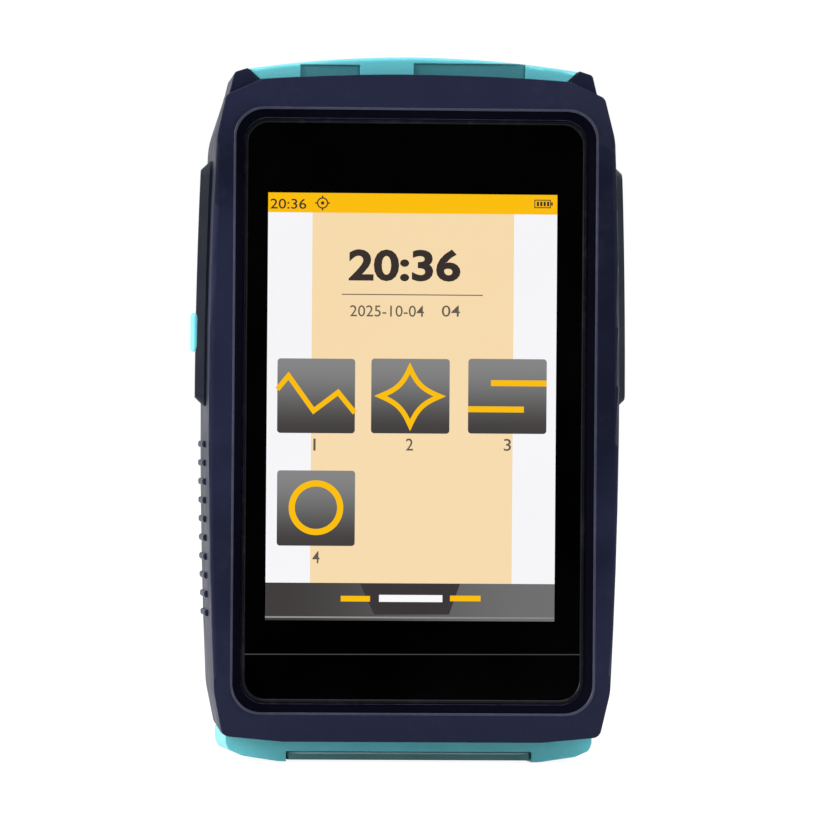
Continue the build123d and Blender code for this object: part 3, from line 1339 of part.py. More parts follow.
def port_nodes():
    """The connectors in the bay and the sockets in the foot, by name."""
    return {
        "port_panel": port_panel(),
        "panel_screws": panel_screws(),
        "otdr_adapter": adapter(PORT_X, BARREL_R, BARREL_WALL, True),
        "power_meter_adapter": adapter(0, BARREL_R, BARREL_WALL, False),
        "fault_locator_port": adapter(-PORT_X, LOCATOR_R, LOCATOR_WALL, False),
        "otdr_sleeve": sleeve(PORT_X),
        "power_meter_sleeve": sleeve(0),
        "fault_locator_sleeve": sleeve(-PORT_X),
        "adapter_screws": adapter_screws(),
        "power_detector": receiver(0, DETECTOR_CAN),
        "fault_laser": receiver(-PORT_X, LASER_CAN),
        "usb_c_socket": usb_c_socket(),
        "memory_card_socket": memory_card_socket(),
        "io_board": io_board(),
        "io_screws": io_screws(),
    }


def inner_nodes():
    """What lies inside the shells, by name."""
    return {
        "lcd_panel": lcd_panel(),
        "lcd_carrier": lcd_carrier(),
        "power_switch": power_switch(),
        "switch_board": switch_board(),
        "main_board": main_board(),
        "board_screws": board_screws(),
        "board_shields": board_shields(),
        "beeper": beeper(),
        "fibre_tray": fibre_tray(),
        "fibre_coil": fibre_coil(),
        "otdr_module": otdr_module(),
        "otdr_pigtail": otdr_pigtail(),
        "battery_pack": battery_pack(),
        "battery_pads": battery_pads(),
    }


def main():
    """Writes one STEP file for each node."""
    os.makedirs("parts", exist_ok=True)
    nodes = outer_nodes() | port_nodes() | inner_nodes()
    for name, shape in nodes.items():
        export_step(shape, f"parts/{name}.step")


main()
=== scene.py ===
"""Dresses the handheld fibre tester: finishes, screen picture, outer skins, room and camera.

Every length is in millimetres until a mesh is made, and the frame is the CAD's own:
X to the right, Y to the back, Z up, with the front glass facing -Y.
"""

import logging
import math
from dataclasses import dataclass, field, replace
from enum import Enum, IntEnum

import bpy
import numpy as np
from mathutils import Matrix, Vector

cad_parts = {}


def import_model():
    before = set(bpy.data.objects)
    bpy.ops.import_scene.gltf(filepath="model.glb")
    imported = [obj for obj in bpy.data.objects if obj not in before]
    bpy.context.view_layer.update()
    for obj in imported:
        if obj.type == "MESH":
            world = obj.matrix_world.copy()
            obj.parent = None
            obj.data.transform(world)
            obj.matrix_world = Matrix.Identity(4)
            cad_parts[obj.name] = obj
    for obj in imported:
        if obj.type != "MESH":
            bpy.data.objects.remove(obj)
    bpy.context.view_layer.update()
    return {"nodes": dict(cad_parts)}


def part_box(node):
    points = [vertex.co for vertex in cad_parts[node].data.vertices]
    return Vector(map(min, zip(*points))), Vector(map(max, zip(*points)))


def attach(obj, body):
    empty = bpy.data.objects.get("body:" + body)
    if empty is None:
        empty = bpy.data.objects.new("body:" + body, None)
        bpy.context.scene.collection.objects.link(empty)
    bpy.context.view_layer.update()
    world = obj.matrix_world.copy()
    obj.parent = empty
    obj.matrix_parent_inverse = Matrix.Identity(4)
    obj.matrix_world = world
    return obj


LOG = logging.getLogger("fibre_tester")
MM = 0.001

Triple = tuple[float, float, float]
Colour = Triple
Faces = list[list[int]]
Pixel = tuple[float, float]
Places = tuple[Pixel, ...]
PixelBox = tuple[float, float, float, float]

# Heights of a cloud pattern from which to which a colour drifts, and a surface turns rougher.
DRIFTING = (0.36, 0.66)
PATCHY = (0.3, 0.7)


def srgb(red: int, green: int, blue: int) -> Colour:
    """Turns a colour of 0 to 255 as a screen shows it into the linear one that a shader takes.

    Args:
        red: Red part.
        green: Green part.
        blue: Blue part.

    Returns:
        The three linear parts, from 0 to 1.
    """
    part = np.array([red, green, blue]) / 255.0
    low, high = part / 12.92, ((part + 0.055) / 1.055) ** 2.4
    return tuple(float(v) for v in np.where(part <= 0.04045, low, high))


# Materials


class Graph:
    """One material's node tree, with a method for each node that the finishes use."""

    def __init__(self, name: str) -> None:
        """Starts a material that holds only its main shader.

        Args:
            name: Name of the material.
        """
        self.material = bpy.data.materials.new(name)
        self.material.use_nodes = True
        self.tree = self.material.node_tree
        self.shader = self.tree.nodes["Principled BSDF"]
        self.place = self.node("ShaderNodeTexCoord").outputs["Object"]

    def node(self, kind: str, **settings: object) -> bpy.types.Node:
        """Adds a node.

        Args:
            kind: Blender's name of the node's class.
            settings: Properties to set on it.

        Returns:
            The node.
        """
        made = self.tree.nodes.new(kind)
        for key, value in settings.items():
            setattr(made, key, value)
        return made

    def link(self, source: bpy.types.NodeSocket, target: bpy.types.NodeSocket) -> None:
        """Joins an output to an input."""
        self.tree.links.new(source, target)

    def put(self, target: bpy.types.NodeSocket, value: object) -> None:
        """Gives an input a value, or joins it to the output that brings one.

        Args:
            target: The input.
            value: A number, a vector, a colour or an output.
        """
        if isinstance(value, bpy.types.NodeSocket):
            self.link(value, target)
        elif isinstance(value, tuple) and len(value) == 3 and target.type == "RGBA":
            target.default_value = (*value, 1.0)
        else:
            target.default_value = value

    def stretched(self, scale: Triple) -> bpy.types.NodeSocket:
        """The place on the object, drawn out along its axes.

        Args:
            scale: How many times each coordinate is taken.

        Returns:
            The changed coordinates.
        """
        mapping = self.node("ShaderNodeMapping")
        mapping.inputs["Scale"].default_value = scale
        self.link(self.place, mapping.inputs["Vector"])
        return mapping.outputs["Vector"]

    def noise(self, size: float, detail: float = 3.0, stretch: Triple = (1, 1, 1)) -> bpy.types.NodeSocket:
        """Soft cloudy variation.

        Args:
            size: Width of a cloud in millimetres.
            detail: How many finer layers it has.
            stretch: How it is drawn out along the axes.

        Returns:
            Its height, about 0 to 1.
        """
        cloud = self.node("ShaderNodeTexNoise")
        cloud.inputs["Scale"].default_value = 1.0 / (size * MM)
        cloud.inputs["Detail"].default_value = detail
        self.link(self.stretched(stretch), cloud.inputs["Vector"])
        return cloud.outputs["Fac"]

    def cells(self, size: float, feature: str = "F1") -> bpy.types.NodeSocket:
        """Cells with a point in each, as on a sparked mould.

        Args:
            size: Width of a cell in millimetres.
            feature: Which of the cell measures is read.

        Returns:
            The distance that the feature measures.
        """
        cell = self.node("ShaderNodeTexVoronoi", feature=feature)
        cell.inputs["Scale"].default_value = 1.0 / (size * MM)
        self.link(self.place, cell.inputs["Vector"])
        return cell.outputs["Distance"]

    def axis(self, name: str) -> bpy.types.NodeSocket:
        """One coordinate of the place on the object.

        Args:
            name: X, Y or Z.

        Returns:
            The coordinate in metres.
        """
        parts = self.node("ShaderNodeSeparateXYZ")
        self.link(self.place, parts.inputs["Vector"])
        return parts.outputs[name]

    def ramp(self, value: bpy.types.NodeSocket, low: float, high: float,
             start: float = 0.0, end: float = 1.0) -> bpy.types.NodeSocket:
        """Maps a value from low..high to start..end with soft ends.

        Args:
            value: What is mapped.
            low: The value that gives start.
            high: The value that gives end.
            start: Result at low and below.
            end: Result at high and above.

        Returns:
            The mapped value.
        """
        ranged = self.node("ShaderNodeMapRange", interpolation_type="SMOOTHSTEP")
        for name, number in (("From Min", low), ("From Max", high), ("To Min", start), ("To Max", end)):
            ranged.inputs[name].default_value = number
        self.link(value, ranged.inputs["Value"])
        return ranged.outputs["Result"]

    def maths(self, operation: str, first: object, second: object = 0.0) -> bpy.types.NodeSocket:
        """One step of arithmetic.

        Args:
            operation: Blender's name of the step.
            first: First value.
            second: Second value, which some steps don't need.

        Returns:
            The result.
        """
        step = self.node("ShaderNodeMath", operation=operation)
        self.put(step.inputs[0], first)
        self.put(step.inputs[1], second)
        return step.outputs["Value"]

    def mix(self, share: object, first: object, second: object) -> bpy.types.NodeSocket:
        """A colour between two.

        Args:
            share: 0 for the first, 1 for the second.
            first: First colour.
            second: Second colour.

        Returns:
            The mixed colour.
        """
        mixer = self.node("ShaderNodeMix", data_type="RGBA")
        self.put(mixer.inputs["Factor"], share)
        self.put(mixer.inputs[6], first)
        self.put(mixer.inputs[7], second)
        return mixer.outputs[2]

    def soften(self, radius: float) -> bpy.types.NodeSocket:
        """The normal that the surface would have with its sharp edges rounded.

        Args:
            radius: Radius of the rounding in millimetres.

        Returns:
            The rounded normal.
        """
        bevel = self.node("ShaderNodeBevel", samples=6)
        bevel.inputs["Radius"].default_value = radius * MM
        return bevel.outputs["Normal"]

    def edges(self, normal: bpy.types.NodeSocket) -> bpy.types.NodeSocket:
        """How near a sharp edge is: 1 minus the dot product of the rounded and the plain normal.

        Args:
            normal: The rounded normal.

        Returns:
            0 on the flats, more towards an edge.
        """
        geometry = self.node("ShaderNodeNewGeometry")
        dot = self.node("ShaderNodeVectorMath", operation="DOT_PRODUCT")
        self.link(normal, dot.inputs[0])
        self.link(geometry.outputs["Normal"], dot.inputs[1])
        return self.maths("SUBTRACT", 1.0, dot.outputs["Value"])

    def bump(self, height: bpy.types.NodeSocket, depth: float, under: object = None) -> bpy.types.NodeSocket:
        """A raised pattern.

        Args:
            height: Height of the pattern, 0 to 1.
            depth: What a height of 1 is, in millimetres.
            under: The normal of a pattern under this one.

        Returns:
            The bent normal.
        """
        relief = self.node("ShaderNodeBump")
        relief.inputs["Distance"].default_value = depth * MM
        self.link(height, relief.inputs["Height"])
        if under is not None:
            self.link(under, relief.inputs["Normal"])
        return relief.outputs["Normal"]

    def shade(self, **values: object) -> None:
        """Sets inputs of the main shader, named with _ for a space."""
        for name, value in values.items():
            self.put(self.shader.inputs[name.replace("_", " ")], value)


@dataclass(frozen=True)
class Finish:
    """A finish that can be put on any piece.

    Attributes:
        name: Name of the material.
        colour: Main colour, linear.
        shade: Colour that it drifts towards, and in moulded plastic also the colour of the painted light
            towards the foot and the head.
        roughness: Middle roughness.
    """

    name: str
    colour: Colour
    shade: Colour
    roughness: float = 0.45

    @property
    def label(self) -> str:
        """Name of its material, which no material of the frame has."""
        return f"{self.name}_finish"

    def material(self) -> bpy.types.Material:
        """The material, made once and shared."""
        return bpy.data.materials.get(self.label) or self.build()

    def build(self) -> bpy.types.Material:
        """Makes the material."""
        raise NotImplementedError

    def drift(self, graph: Graph, size: float = 22.0) -> bpy.types.NodeSocket:
        """The main colour drifting softly towards the shade over clouds of the given size."""
        return graph.mix(graph.ramp(graph.noise(size, 4.0), *DRIFTING), self.colour, self.shade)


@dataclass(frozen=True)
class Moulded(Finish):
    """Moulded plastic: sparked grain, soft mottling, rubbed spots, edges lighter with wear and painted
    highlight, and painted light towards the foot and the head where spans are given.

    Attributes:
        grain: Width of a grain in millimetres.
        relief: Height of the grain in millimetres.
        cloud: Width of the mottling in millimetres.
        speck: Width of the specks that break up rubbed spots and edges, in millimetres.
        swing: How far the roughness goes up and down over the mottling.
        rub_and_highlight: Colour that handling has rubbed it to, also the colour of the painted highlight
            along the edges.
        rub_from: Heights of the pattern from which to which a spot is rubbed.
        rub_share: How much of the rubbed colour shows at most on the flats.
        specular: Strength of its plain reflection.
        edge: Radius in millimetres to which its sharp edges look rounded.
        bend: Turns of the normal from which to which an edge counts.
        edge_from: Heights of the pattern from which to which an edge takes the rubbed colour, as wear and
            painted highlight.
        edge_share: How much of the rubbed colour shows at most along the edges, as wear and painted
            highlight.
        painted_light_low: From which z to which, in millimetres, the colour turns to the shade colour at the
            foot, as painted light.
        painted_light_high: The same at the head.
    """

    grain: float = 0.35
    relief: float = 0.02
    cloud: float = 7.0
    speck: float = 1.3
    swing: float = 0.05
    rub_and_highlight: Colour = (0.1, 0.1, 0.12)
    rub_from: tuple[float, float] = (0.27, 0.42)
    rub_share: float = 0.1
    specular: float = 0.5
    edge: float = 0.3
    bend: tuple[float, float] = (0.01, 0.12)
    edge_from: tuple[float, float] = (0.25, 0.6)
    edge_share: float = 0.35
    painted_light_low: tuple[float, float] | None = None
    painted_light_high: tuple[float, float] | None = None

    def tone(self, graph: Graph) -> bpy.types.NodeSocket:
        """The drifting colour, turned to the shade colour towards the foot and the head where spans are
        given: painted light on the bands there that face up and down.

        Args:
            graph: The node tree that it is made in.

        Returns:
            The colour.
        """
        drift_and_painted_light = self.drift(graph)
        # Painted light: the colour turns to the lighter shade colour in bands at the foot and the head.
        for span in (self.painted_light_low, self.painted_light_high):
            if span:
                share = graph.ramp(graph.axis("Z"), span[0] * MM, span[1] * MM)
                drift_and_painted_light = graph.mix(share, drift_and_painted_light, self.shade)
        return drift_and_painted_light

    def build(self) -> bpy.types.Material:
        """Makes the material."""
        graph = Graph(self.label)
        fine = graph.cells(self.grain, "SMOOTH_F1")
        clouds = graph.noise(self.cloud, 5.0)
        specks = graph.noise(self.speck, 4.0)
        rubbed = graph.ramp(graph.maths("MULTIPLY", clouds, specks), *self.rub_from, 0.0, self.rub_share)
        soft = graph.soften(self.edge)
        edges = graph.maths("MULTIPLY", graph.ramp(graph.edges(soft), *self.bend), specks)
        # Rubbed spots on the flats are wear; the lighter colour along the edges is wear and painted
        # highlight.
        worn_and_highlit = graph.maths("MAXIMUM", rubbed, graph.ramp(edges, *self.edge_from, 0.0, self.edge_share))
        graph.shade(
            Base_Color=graph.mix(worn_and_highlit, self.tone(graph), self.rub_and_highlight),
            Roughness=graph.ramp(clouds, *PATCHY, self.roughness - self.swing, self.roughness + self.swing),
            Specular_IOR_Level=self.specular,
            Normal=graph.bump(fine, self.relief, graph.bump(clouds, self.relief, soft)),
        )
        return graph.material


@dataclass(frozen=True)
class Rubber(Finish):
    """Soft rubber: matt, a little fuzzy at the edge of view, with a skin of fine pimples.

    Attributes:
        pimple: Width of a pimple in millimetres.
        relief: Its height in millimetres.
        cloud: Width of the mottling in millimetres.
        drifts: Width of the patches of colour in millimetres.
        swing: How far the roughness goes down and up over the mottling.
        sheen: Strength of the soft edge light.
        spread: Roughness of that light.
        specular: Strength of its plain reflection.
    """

    pimple: float = 0.5
    relief: float = 0.03
    cloud: float = 6.0
    drifts: float = 14.0
    swing: tuple[float, float] = (-0.05, 0.08)
    sheen: float = 0.15
    spread: float = 0.4
    specular: float = 0.35

    def build(self) -> bpy.types.Material:
        """Makes the material."""
        graph = Graph(self.label)
        dots = graph.cells(self.pimple)
        clouds = graph.noise(self.cloud, 4.0)
        graph.shade(
            Base_Color=self.drift(graph, self.drifts),
            Roughness=graph.ramp(clouds, *PATCHY, *(self.roughness + step for step in self.swing)),
            Specular_IOR_Level=self.specular,
            Sheen_Weight=self.sheen,
            Sheen_Roughness=self.spread,
            Normal=graph.bump(dots, self.relief, graph.bump(clouds, self.relief)),
        )
        return graph.material


@dataclass(frozen=True)
class Gloss(Finish):
    """Hard smooth gloss, as on coated glass: hair scratches and faint smears in the reflection only.

    Attributes:
        specular: Strength of its plain reflection.
        smear: Width of a smear in millimetres.
        smear_run: How the smears are drawn out along the axes.
        smear_from: Heights of the pattern from which to which a smear shows.
        swing: How much rougher a smear is.
        hair: Width of a scratch in millimetres.
        hair_run: How the scratches are drawn out along the axes.
        scratch: Depth of a scratch in millimetres.
        drifts: Width of the patches of colour in millimetres.
    """

    specular: float = 0.3
    smear: float = 18.0
    smear_run: Triple = (1.0, 1.0, 0.4)
    smear_from: tuple[float, float] = (0.35, 0.75)
    swing: float = 0.05
    hair: float = 0.4
    hair_run: Triple = (1.0, 1.0, 0.05)
    scratch: float = 0.0004
    drifts: float = 30.0

    def build(self) -> bpy.types.Material:
        """Makes the material."""
        graph = Graph(self.label)
        smears = graph.noise(self.smear, 3.0, self.smear_run)
        hairs = graph.noise(self.hair, 2.0, self.hair_run)
        graph.shade(
            Base_Color=self.drift(graph, self.drifts),
            Roughness=graph.ramp(smears, *self.smear_from, self.roughness, self.roughness + self.swing),
            Specular_IOR_Level=self.specular,
            Normal=graph.bump(hairs, self.scratch),
        )
        return graph.material


@dataclass(frozen=True)
class Lit(Finish):
    """A lit area of the display under its glass: the colour shines, and the glass over it stays glossy.

    Attributes:
        level: Strength of the light.
        span: Lowest and highest z in millimetres where colour turns to shade, or None for a soft drift.
        across: Whether the span runs along X instead.
        drifts: Width of the patches of that soft drift in millimetres.
        pixel: Width of one of its cells in millimetres.
        pixel_from: Distances from a cell's point from which to which it gets dimmer.
        between: How bright it is between the cells.
        glass: Its own dark colour under the light.
        specular: Strength of its plain reflection.
    """

    level: float = 1.0
    span: tuple[float, float] | None = None
    across: bool = False
    drifts: float = 40.0
    pixel: float = 0.3
    pixel_from: tuple[float, float] = (0.1, 0.6)
    between: float = 0.985
    glass: Colour = (0.002, 0.002, 0.002)
    specular: float = 0.25

    def build(self) -> bpy.types.Material:
        """Makes the material."""
        graph = Graph(self.label)
        if self.span:
            along = graph.axis("X" if self.across else "Z")
            share = graph.ramp(along, self.span[0] * MM, self.span[1] * MM)
            glow = graph.mix(share, self.colour, self.shade)
        else:
            glow = self.drift(graph, self.drifts)
        cells = graph.ramp(graph.cells(self.pixel), *self.pixel_from, 1.0, self.between)
        graph.shade(
            Base_Color=self.glass,
            Roughness=self.roughness,
            Specular_IOR_Level=self.specular,
            Emission_Color=graph.mix(cells, (0, 0, 0), glow),
            Emission_Strength=self.level,
        )
        return graph.material


@dataclass(frozen=True)
class Metal(Finish):
    """Plated or turned metal: fine tool lines and a patchy tarnish.

    Attributes:
        line: Width of a tool line in millimetres.
        run: How the lines are drawn out along the axes.
        line_depth: Depth of a line in millimetres.
        patch: Width of a patch of tarnish in millimetres.
        patch_from: Heights of the pattern from which to which the shade shows.
        patch_depth: How much the patches stand out, in millimetres.
        swing: How far the roughness goes down and up over the patches.
    """

    line: float = 0.12
    run: Triple = (1.0, 1.0, 8.0)
    line_depth: float = 0.004
    patch: float = 3.0
    patch_from: tuple[float, float] = (0.4, 0.75)
    patch_depth: float = 0.01
    swing: tuple[float, float] = (-0.05, 0.12)

    def build(self) -> bpy.types.Material:
        """Makes the material."""
        graph = Graph(self.label)
        lines = graph.noise(self.line, 2.0, self.run)
        tarnish = graph.noise(self.patch, 4.0)
        graph.shade(
            Base_Color=graph.mix(graph.ramp(tarnish, *self.patch_from), self.colour, self.shade),
            Metallic=1.0,
            Roughness=graph.ramp(tarnish, *PATCHY, *(self.roughness + step for step in self.swing)),
            Normal=graph.bump(lines, self.line_depth, graph.bump(tarnish, self.patch_depth)),
        )
        return graph.material


@dataclass(frozen=True)
class Laminate(Finish):
    """Circuit board: solder mask over copper tracks that show as lighter lines.

    Attributes:
        field_size: Width of a field of tracks in millimetres.
        pitch: Distance from track to gap, as a share of a field.
        track: Shares of a field from which to which a track rises.
        relief: Height of a track in millimetres.
        matt: How much rougher the board is between the tracks.
    """

    field_size: float = 3.4
    pitch: float = 0.11
    track: tuple[float, float] = (0.05, 0.07)
    relief: float = 0.03
    matt: float = 0.1

    def build(self) -> bpy.types.Material:
        """Makes the material."""
        graph = Graph(self.label)
        fields = graph.node("ShaderNodeTexVoronoi", feature="F1", distance="CHEBYCHEV")
        fields.inputs["Scale"].default_value = 1.0 / (self.field_size * MM)
        graph.link(graph.place, fields.inputs["Vector"])
        raised = graph.ramp(graph.maths("PINGPONG", fields.outputs["Distance"], self.pitch), *self.track)
        graph.shade(
            Base_Color=graph.mix(raised, self.drift(graph), self.shade),
            Roughness=graph.ramp(raised, 0.0, 1.0, self.roughness + self.matt, self.roughness),
            Normal=graph.bump(raised, self.relief),
        )
        return graph.material


class Slot(Enum):
    """Finish for each material slot of the record."""

    # Its lighter shade colour is painted light at the foot and the head, and its rubbed colour is also the
    # painted highlight along its edges.
    NAVY_SHELL = Moulded("navy_shell_plastic", srgb(19, 22, 41), srgb(33, 37, 60), 0.42,
                         rub_and_highlight=srgb(84, 88, 112), rub_share=0.03, specular=0.07, relief=0.012, edge_share=0.55,
                         painted_light_low=(42.0, 8.0), painted_light_high=(100.0, 116.0))
    NAVY_RUBBER = Rubber("navy_pad_rubber", srgb(26, 31, 43), srgb(22, 27, 38), 0.6, sheen=0.0, specular=0.12)
    SEAL_RUBBER = Rubber("black_seal_rubber", srgb(20, 20, 24), srgb(30, 30, 34), 0.6)
    # Its rubbed colour is also the painted highlight along the ring's edges.
    RING = Moulded("ring_plastic", srgb(14, 14, 20), srgb(17, 17, 24), 0.26, grain=0.2, relief=0.003,
                   rub_and_highlight=srgb(70, 70, 80), specular=0.12, edge=0.12, edge_share=0.6)
    BLACK_GLASS = Gloss("black_glass", srgb(1, 1, 2), srgb(3, 3, 3), 0.03, specular=0.05)
    ADHESIVE = Rubber("adhesive_tape", srgb(46, 46, 48), srgb(60, 58, 56), 0.7)
    DISPLAY = Gloss("display_stack", srgb(52, 56, 62), srgb(70, 74, 80), 0.15)
    CARRIER = Moulded("carrier_plastic", srgb(58, 60, 66), srgb(70, 72, 78), 0.55)
    # Its light rubbed colour is also the painted highlight along its edges.
    TEAL_PLASTIC = Moulded("teal_plastic", srgb(116, 221, 231), srgb(107, 210, 221), 0.4, specular=0.3,
                           rub_and_highlight=srgb(176, 236, 238), rub_share=0.12)
    TEAL_RUBBER = Rubber("teal_rubber", srgb(94, 143, 144), srgb(86, 133, 134), 0.5, sheen=0.0, specular=0.2)
    PANEL_BLACK = Moulded("panel_plastic", srgb(26, 26, 30), srgb(34, 34, 38), 0.5)
    ADAPTER_METAL = Metal("nickel_plate", srgb(196, 194, 188), srgb(164, 160, 150), 0.28)
    CERAMIC = Gloss("zirconia", srgb(236, 232, 222), srgb(222, 216, 202), 0.2, specular=0.5)
    STEEL = Metal("screw_steel", srgb(172, 174, 178), srgb(120, 122, 128), 0.32)
    GOLD_CAN = Metal("gold_plate", srgb(214, 176, 96), srgb(178, 138, 70), 0.25)
    BOARD_GREEN = Laminate("board_laminate", srgb(20, 84, 52), srgb(44, 122, 78), 0.35)
    BLACK_PLASTIC = Moulded("black_plastic", srgb(20, 20, 22), srgb(32, 32, 34), 0.5)
    MODULE_METAL = Metal("module_aluminium", srgb(176, 178, 182), srgb(146, 148, 154), 0.4)
    FIBRE = Gloss("fibre_jacket", srgb(232, 206, 96), srgb(208, 176, 72), 0.3, specular=0.5)
    BATTERY = Moulded("battery_wrap", srgb(34, 66, 120), srgb(28, 54, 102), 0.3)
    FOAM = Rubber("foam_pad", srgb(72, 72, 76), srgb(58, 58, 62), 0.85, pimple=0.9, relief=0.12)


class Trim(Enum):
    """Finish for each skin that scene.py adds."""

    # Near-black painted shade over the slope round the glass.
    RECESS_SHADE = Moulded("recess_shade", srgb(3, 3, 14), srgb(6, 6, 20), 0.55, specular=0.02, relief=0.006,
                           rub_and_highlight=srgb(16, 17, 34))
    # The lip's colour, lighter than the shell's, is a painted highlight.
    RECESS_LIP = Moulded("recess_lip", srgb(46, 49, 70), srgb(56, 60, 82), 0.34, specular=0.35, relief=0.004,
                         rub_and_highlight=srgb(96, 100, 122))
    # Darker teal: painted shade in the cover's recessed fields.
    PATCH_TEAL = Moulded("patch_teal", srgb(80, 158, 169), srgb(72, 146, 157), 0.45, specular=0.2,
                         rub_and_highlight=srgb(104, 180, 190))
    # Light teal-grey: a painted highlight along the flap's upper edge.
    LIP_TEAL = Moulded("lip_teal", srgb(176, 214, 222), srgb(150, 196, 204), 0.35, specular=0.3,
                       rub_and_highlight=srgb(206, 232, 236))
    # Dark metal sheets of painted shade in the screw drives.
    DRIVE_SHADE = Metal("drive_shadow", srgb(58, 58, 62), srgb(38, 38, 42), 0.5)
    THREAD_METAL = Metal("thread_nickel", srgb(206, 204, 198), srgb(150, 146, 138), 0.24, run=(6.0, 6.0, 1.0))


class Light(Enum):
    """Finish for each lit colour of the display picture."""

    WHITE = Lit("screen_white", srgb(248, 248, 251), srgb(246, 246, 249), 0.05)
    PEACH = Lit("screen_peach", srgb(248, 221, 176), srgb(247, 219, 173), 0.05)
    YELLOW = Lit("screen_yellow", srgb(253, 192, 9), srgb(252, 190, 12), 0.05)
    TILE = Lit("screen_tile", srgb(66, 63, 62), srgb(134, 134, 134), 0.05)
    DOCK = Lit("screen_dock", srgb(64, 61, 60), srgb(112, 112, 112), 0.05)
    DOCK_TAB = Lit("screen_dock_tab", srgb(58, 54, 56), srgb(66, 62, 62), 0.05)
    DOCK_BAR = Lit("screen_bar_white", srgb(252, 252, 252), srgb(248, 248, 248), 0.05)
    DOCK_EDGE = Lit("screen_dock_edge", srgb(150, 150, 150), srgb(120, 120, 120), 0.05)
    INK = Lit("screen_ink", srgb(52, 44, 40), srgb(58, 50, 46), 0.05)
    SOFT_INK = Lit("screen_soft_ink", srgb(96, 88, 80), srgb(104, 96, 88), 0.05)
    # The line under the picture lies off the display, on the black border, yet glows: its grey is painted
    # light.
    DIVIDER = Lit("glass_line", srgb(74, 74, 76), srgb(66, 66, 68), 0.1)


# Geometry


@dataclass
class Form:
    """Points in millimetres and the faces between them."""

    points: np.ndarray
    faces: Faces

    def __add__(self, other: "Form") -> "Form":
        """Both forms in one.

        Args:
            other: The form that is added.

        Returns:
            The joined form.
        """
        shift = len(self.points)
        moved = [[shift + i for i in face] for face in other.faces]
        return Form(np.vstack([self.points, other.points]), self.faces + moved)

    def piece(self, name: str, finish: Finish, body: str, slot: str,
              smooth: bool = False) -> bpy.types.Object:
        """Makes the object, dresses it and lets it ride on its body.

        Args:
            name: Name of the object.
            finish: What it is dressed in.
            body: Body of the CAD that carries it.
            slot: Material slot of the record that it stands for; not used.
            smooth: Whether its faces are shaded round.

        Returns:
            The object.
        """
        mesh = bpy.data.meshes.new(name)
        mesh.from_pydata((self.points * MM).tolist(), [], self.faces)
        mesh.polygons.foreach_set("use_smooth", [smooth] * len(self.faces))
        mesh.materials.append(finish.material())
        mesh.update()
        made = bpy.data.objects.new(name, mesh)
        bpy.context.scene.collection.objects.link(made)
        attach(made, body)
        LOG.info("piece %s: %d faces on %s", name, len(self.faces), body)
        return made


def grid_faces(rows: int, columns: int, looped: bool) -> Faces:
    """Quads between neighbouring rows of points: (r, c), (r, c+1), (r+1, c+1), (r+1, c).

    Args:
        rows: Number of rows, each one a closed loop of points.
        columns: Points in each row.
        looped: Whether the last row joins the first.

    Returns:
        The quads.
    """
    first = np.arange(rows if looped else rows - 1)[:, None] * columns
    next_row = (first + columns) % (rows * columns)
    here = np.arange(columns)[None, :]
    after = (here + 1) % columns
    quads = np.stack([first + here, first + after, next_row + after, next_row + here], axis=-1)
    return quads.reshape(-1, 4).tolist()


def capped(points: np.ndarray) -> Form:
    """A closed surface from rows of points, with a flat face over the first row and over the last.

    Args:
        points: Points (r, c, 3) in millimetres, each row a closed loop.

    Returns:
        The surface.
    """
    rows, columns = points.shape[:2]
    ends = [list(range(columns))[::-1], list(range((rows - 1) * columns, rows * columns))]
    return Form(points.reshape(-1, 3), grid_faces(rows, columns, False) + ends)


def plate(outline: np.ndarray, front: float, back: float) -> Form:
    """A flat closed plate: the outline in X and Z, at y = front and again at y = back, with a wall between.

    Args:
        outline: Points (n, 2) counter-clockwise as seen from -Y, in millimetres.
        front: y of the face that is seen.
        back: y of the face behind it.

    Returns:
        The plate.
    """
    count = len(outline)
    spread = [np.column_stack([outline[:, 0], np.full(count, y), outline[:, 1]]) for y in (front, back)]
    around = np.arange(count)
    after = (around + 1) % count
    walls = np.column_stack([around, around + count, after + count, after]).tolist()
    return Form(np.vstack(spread), [around.tolist(), (around[::-1] + count).tolist()] + walls)


def rounded_rectangle(left: float, right: float, low: float, high: float, radius: float,
                      steps: int) -> np.ndarray:
    """A rectangle with round corners: corner centre + radius (cos t, sin t), a quarter turn at each corner.

    Args:
        left: Lowest x.
        right: Highest x.
        low: Lowest z.
        high: Highest z.
        radius: Corner radius.
        steps: Straight pieces in each corner.

    Returns:
        Points (n, 2), counter-clockwise as seen from -Y.
    """
    centres = np.array([[right - radius, low + radius], [right - radius, high - radius],
                        [left + radius, high - radius], [left + radius, low + radius]])
    starts = np.array([-0.5, 0.0, 0.5, 1.0]) * math.pi
    angles = starts[:, None] + np.linspace(0, math.pi / 2, steps + 1)[None, :]
    arc = np.stack([np.cos(angles), np.sin(angles)], axis=-1) * radius
    return (centres[:, None, :] + arc).reshape(-1, 2)


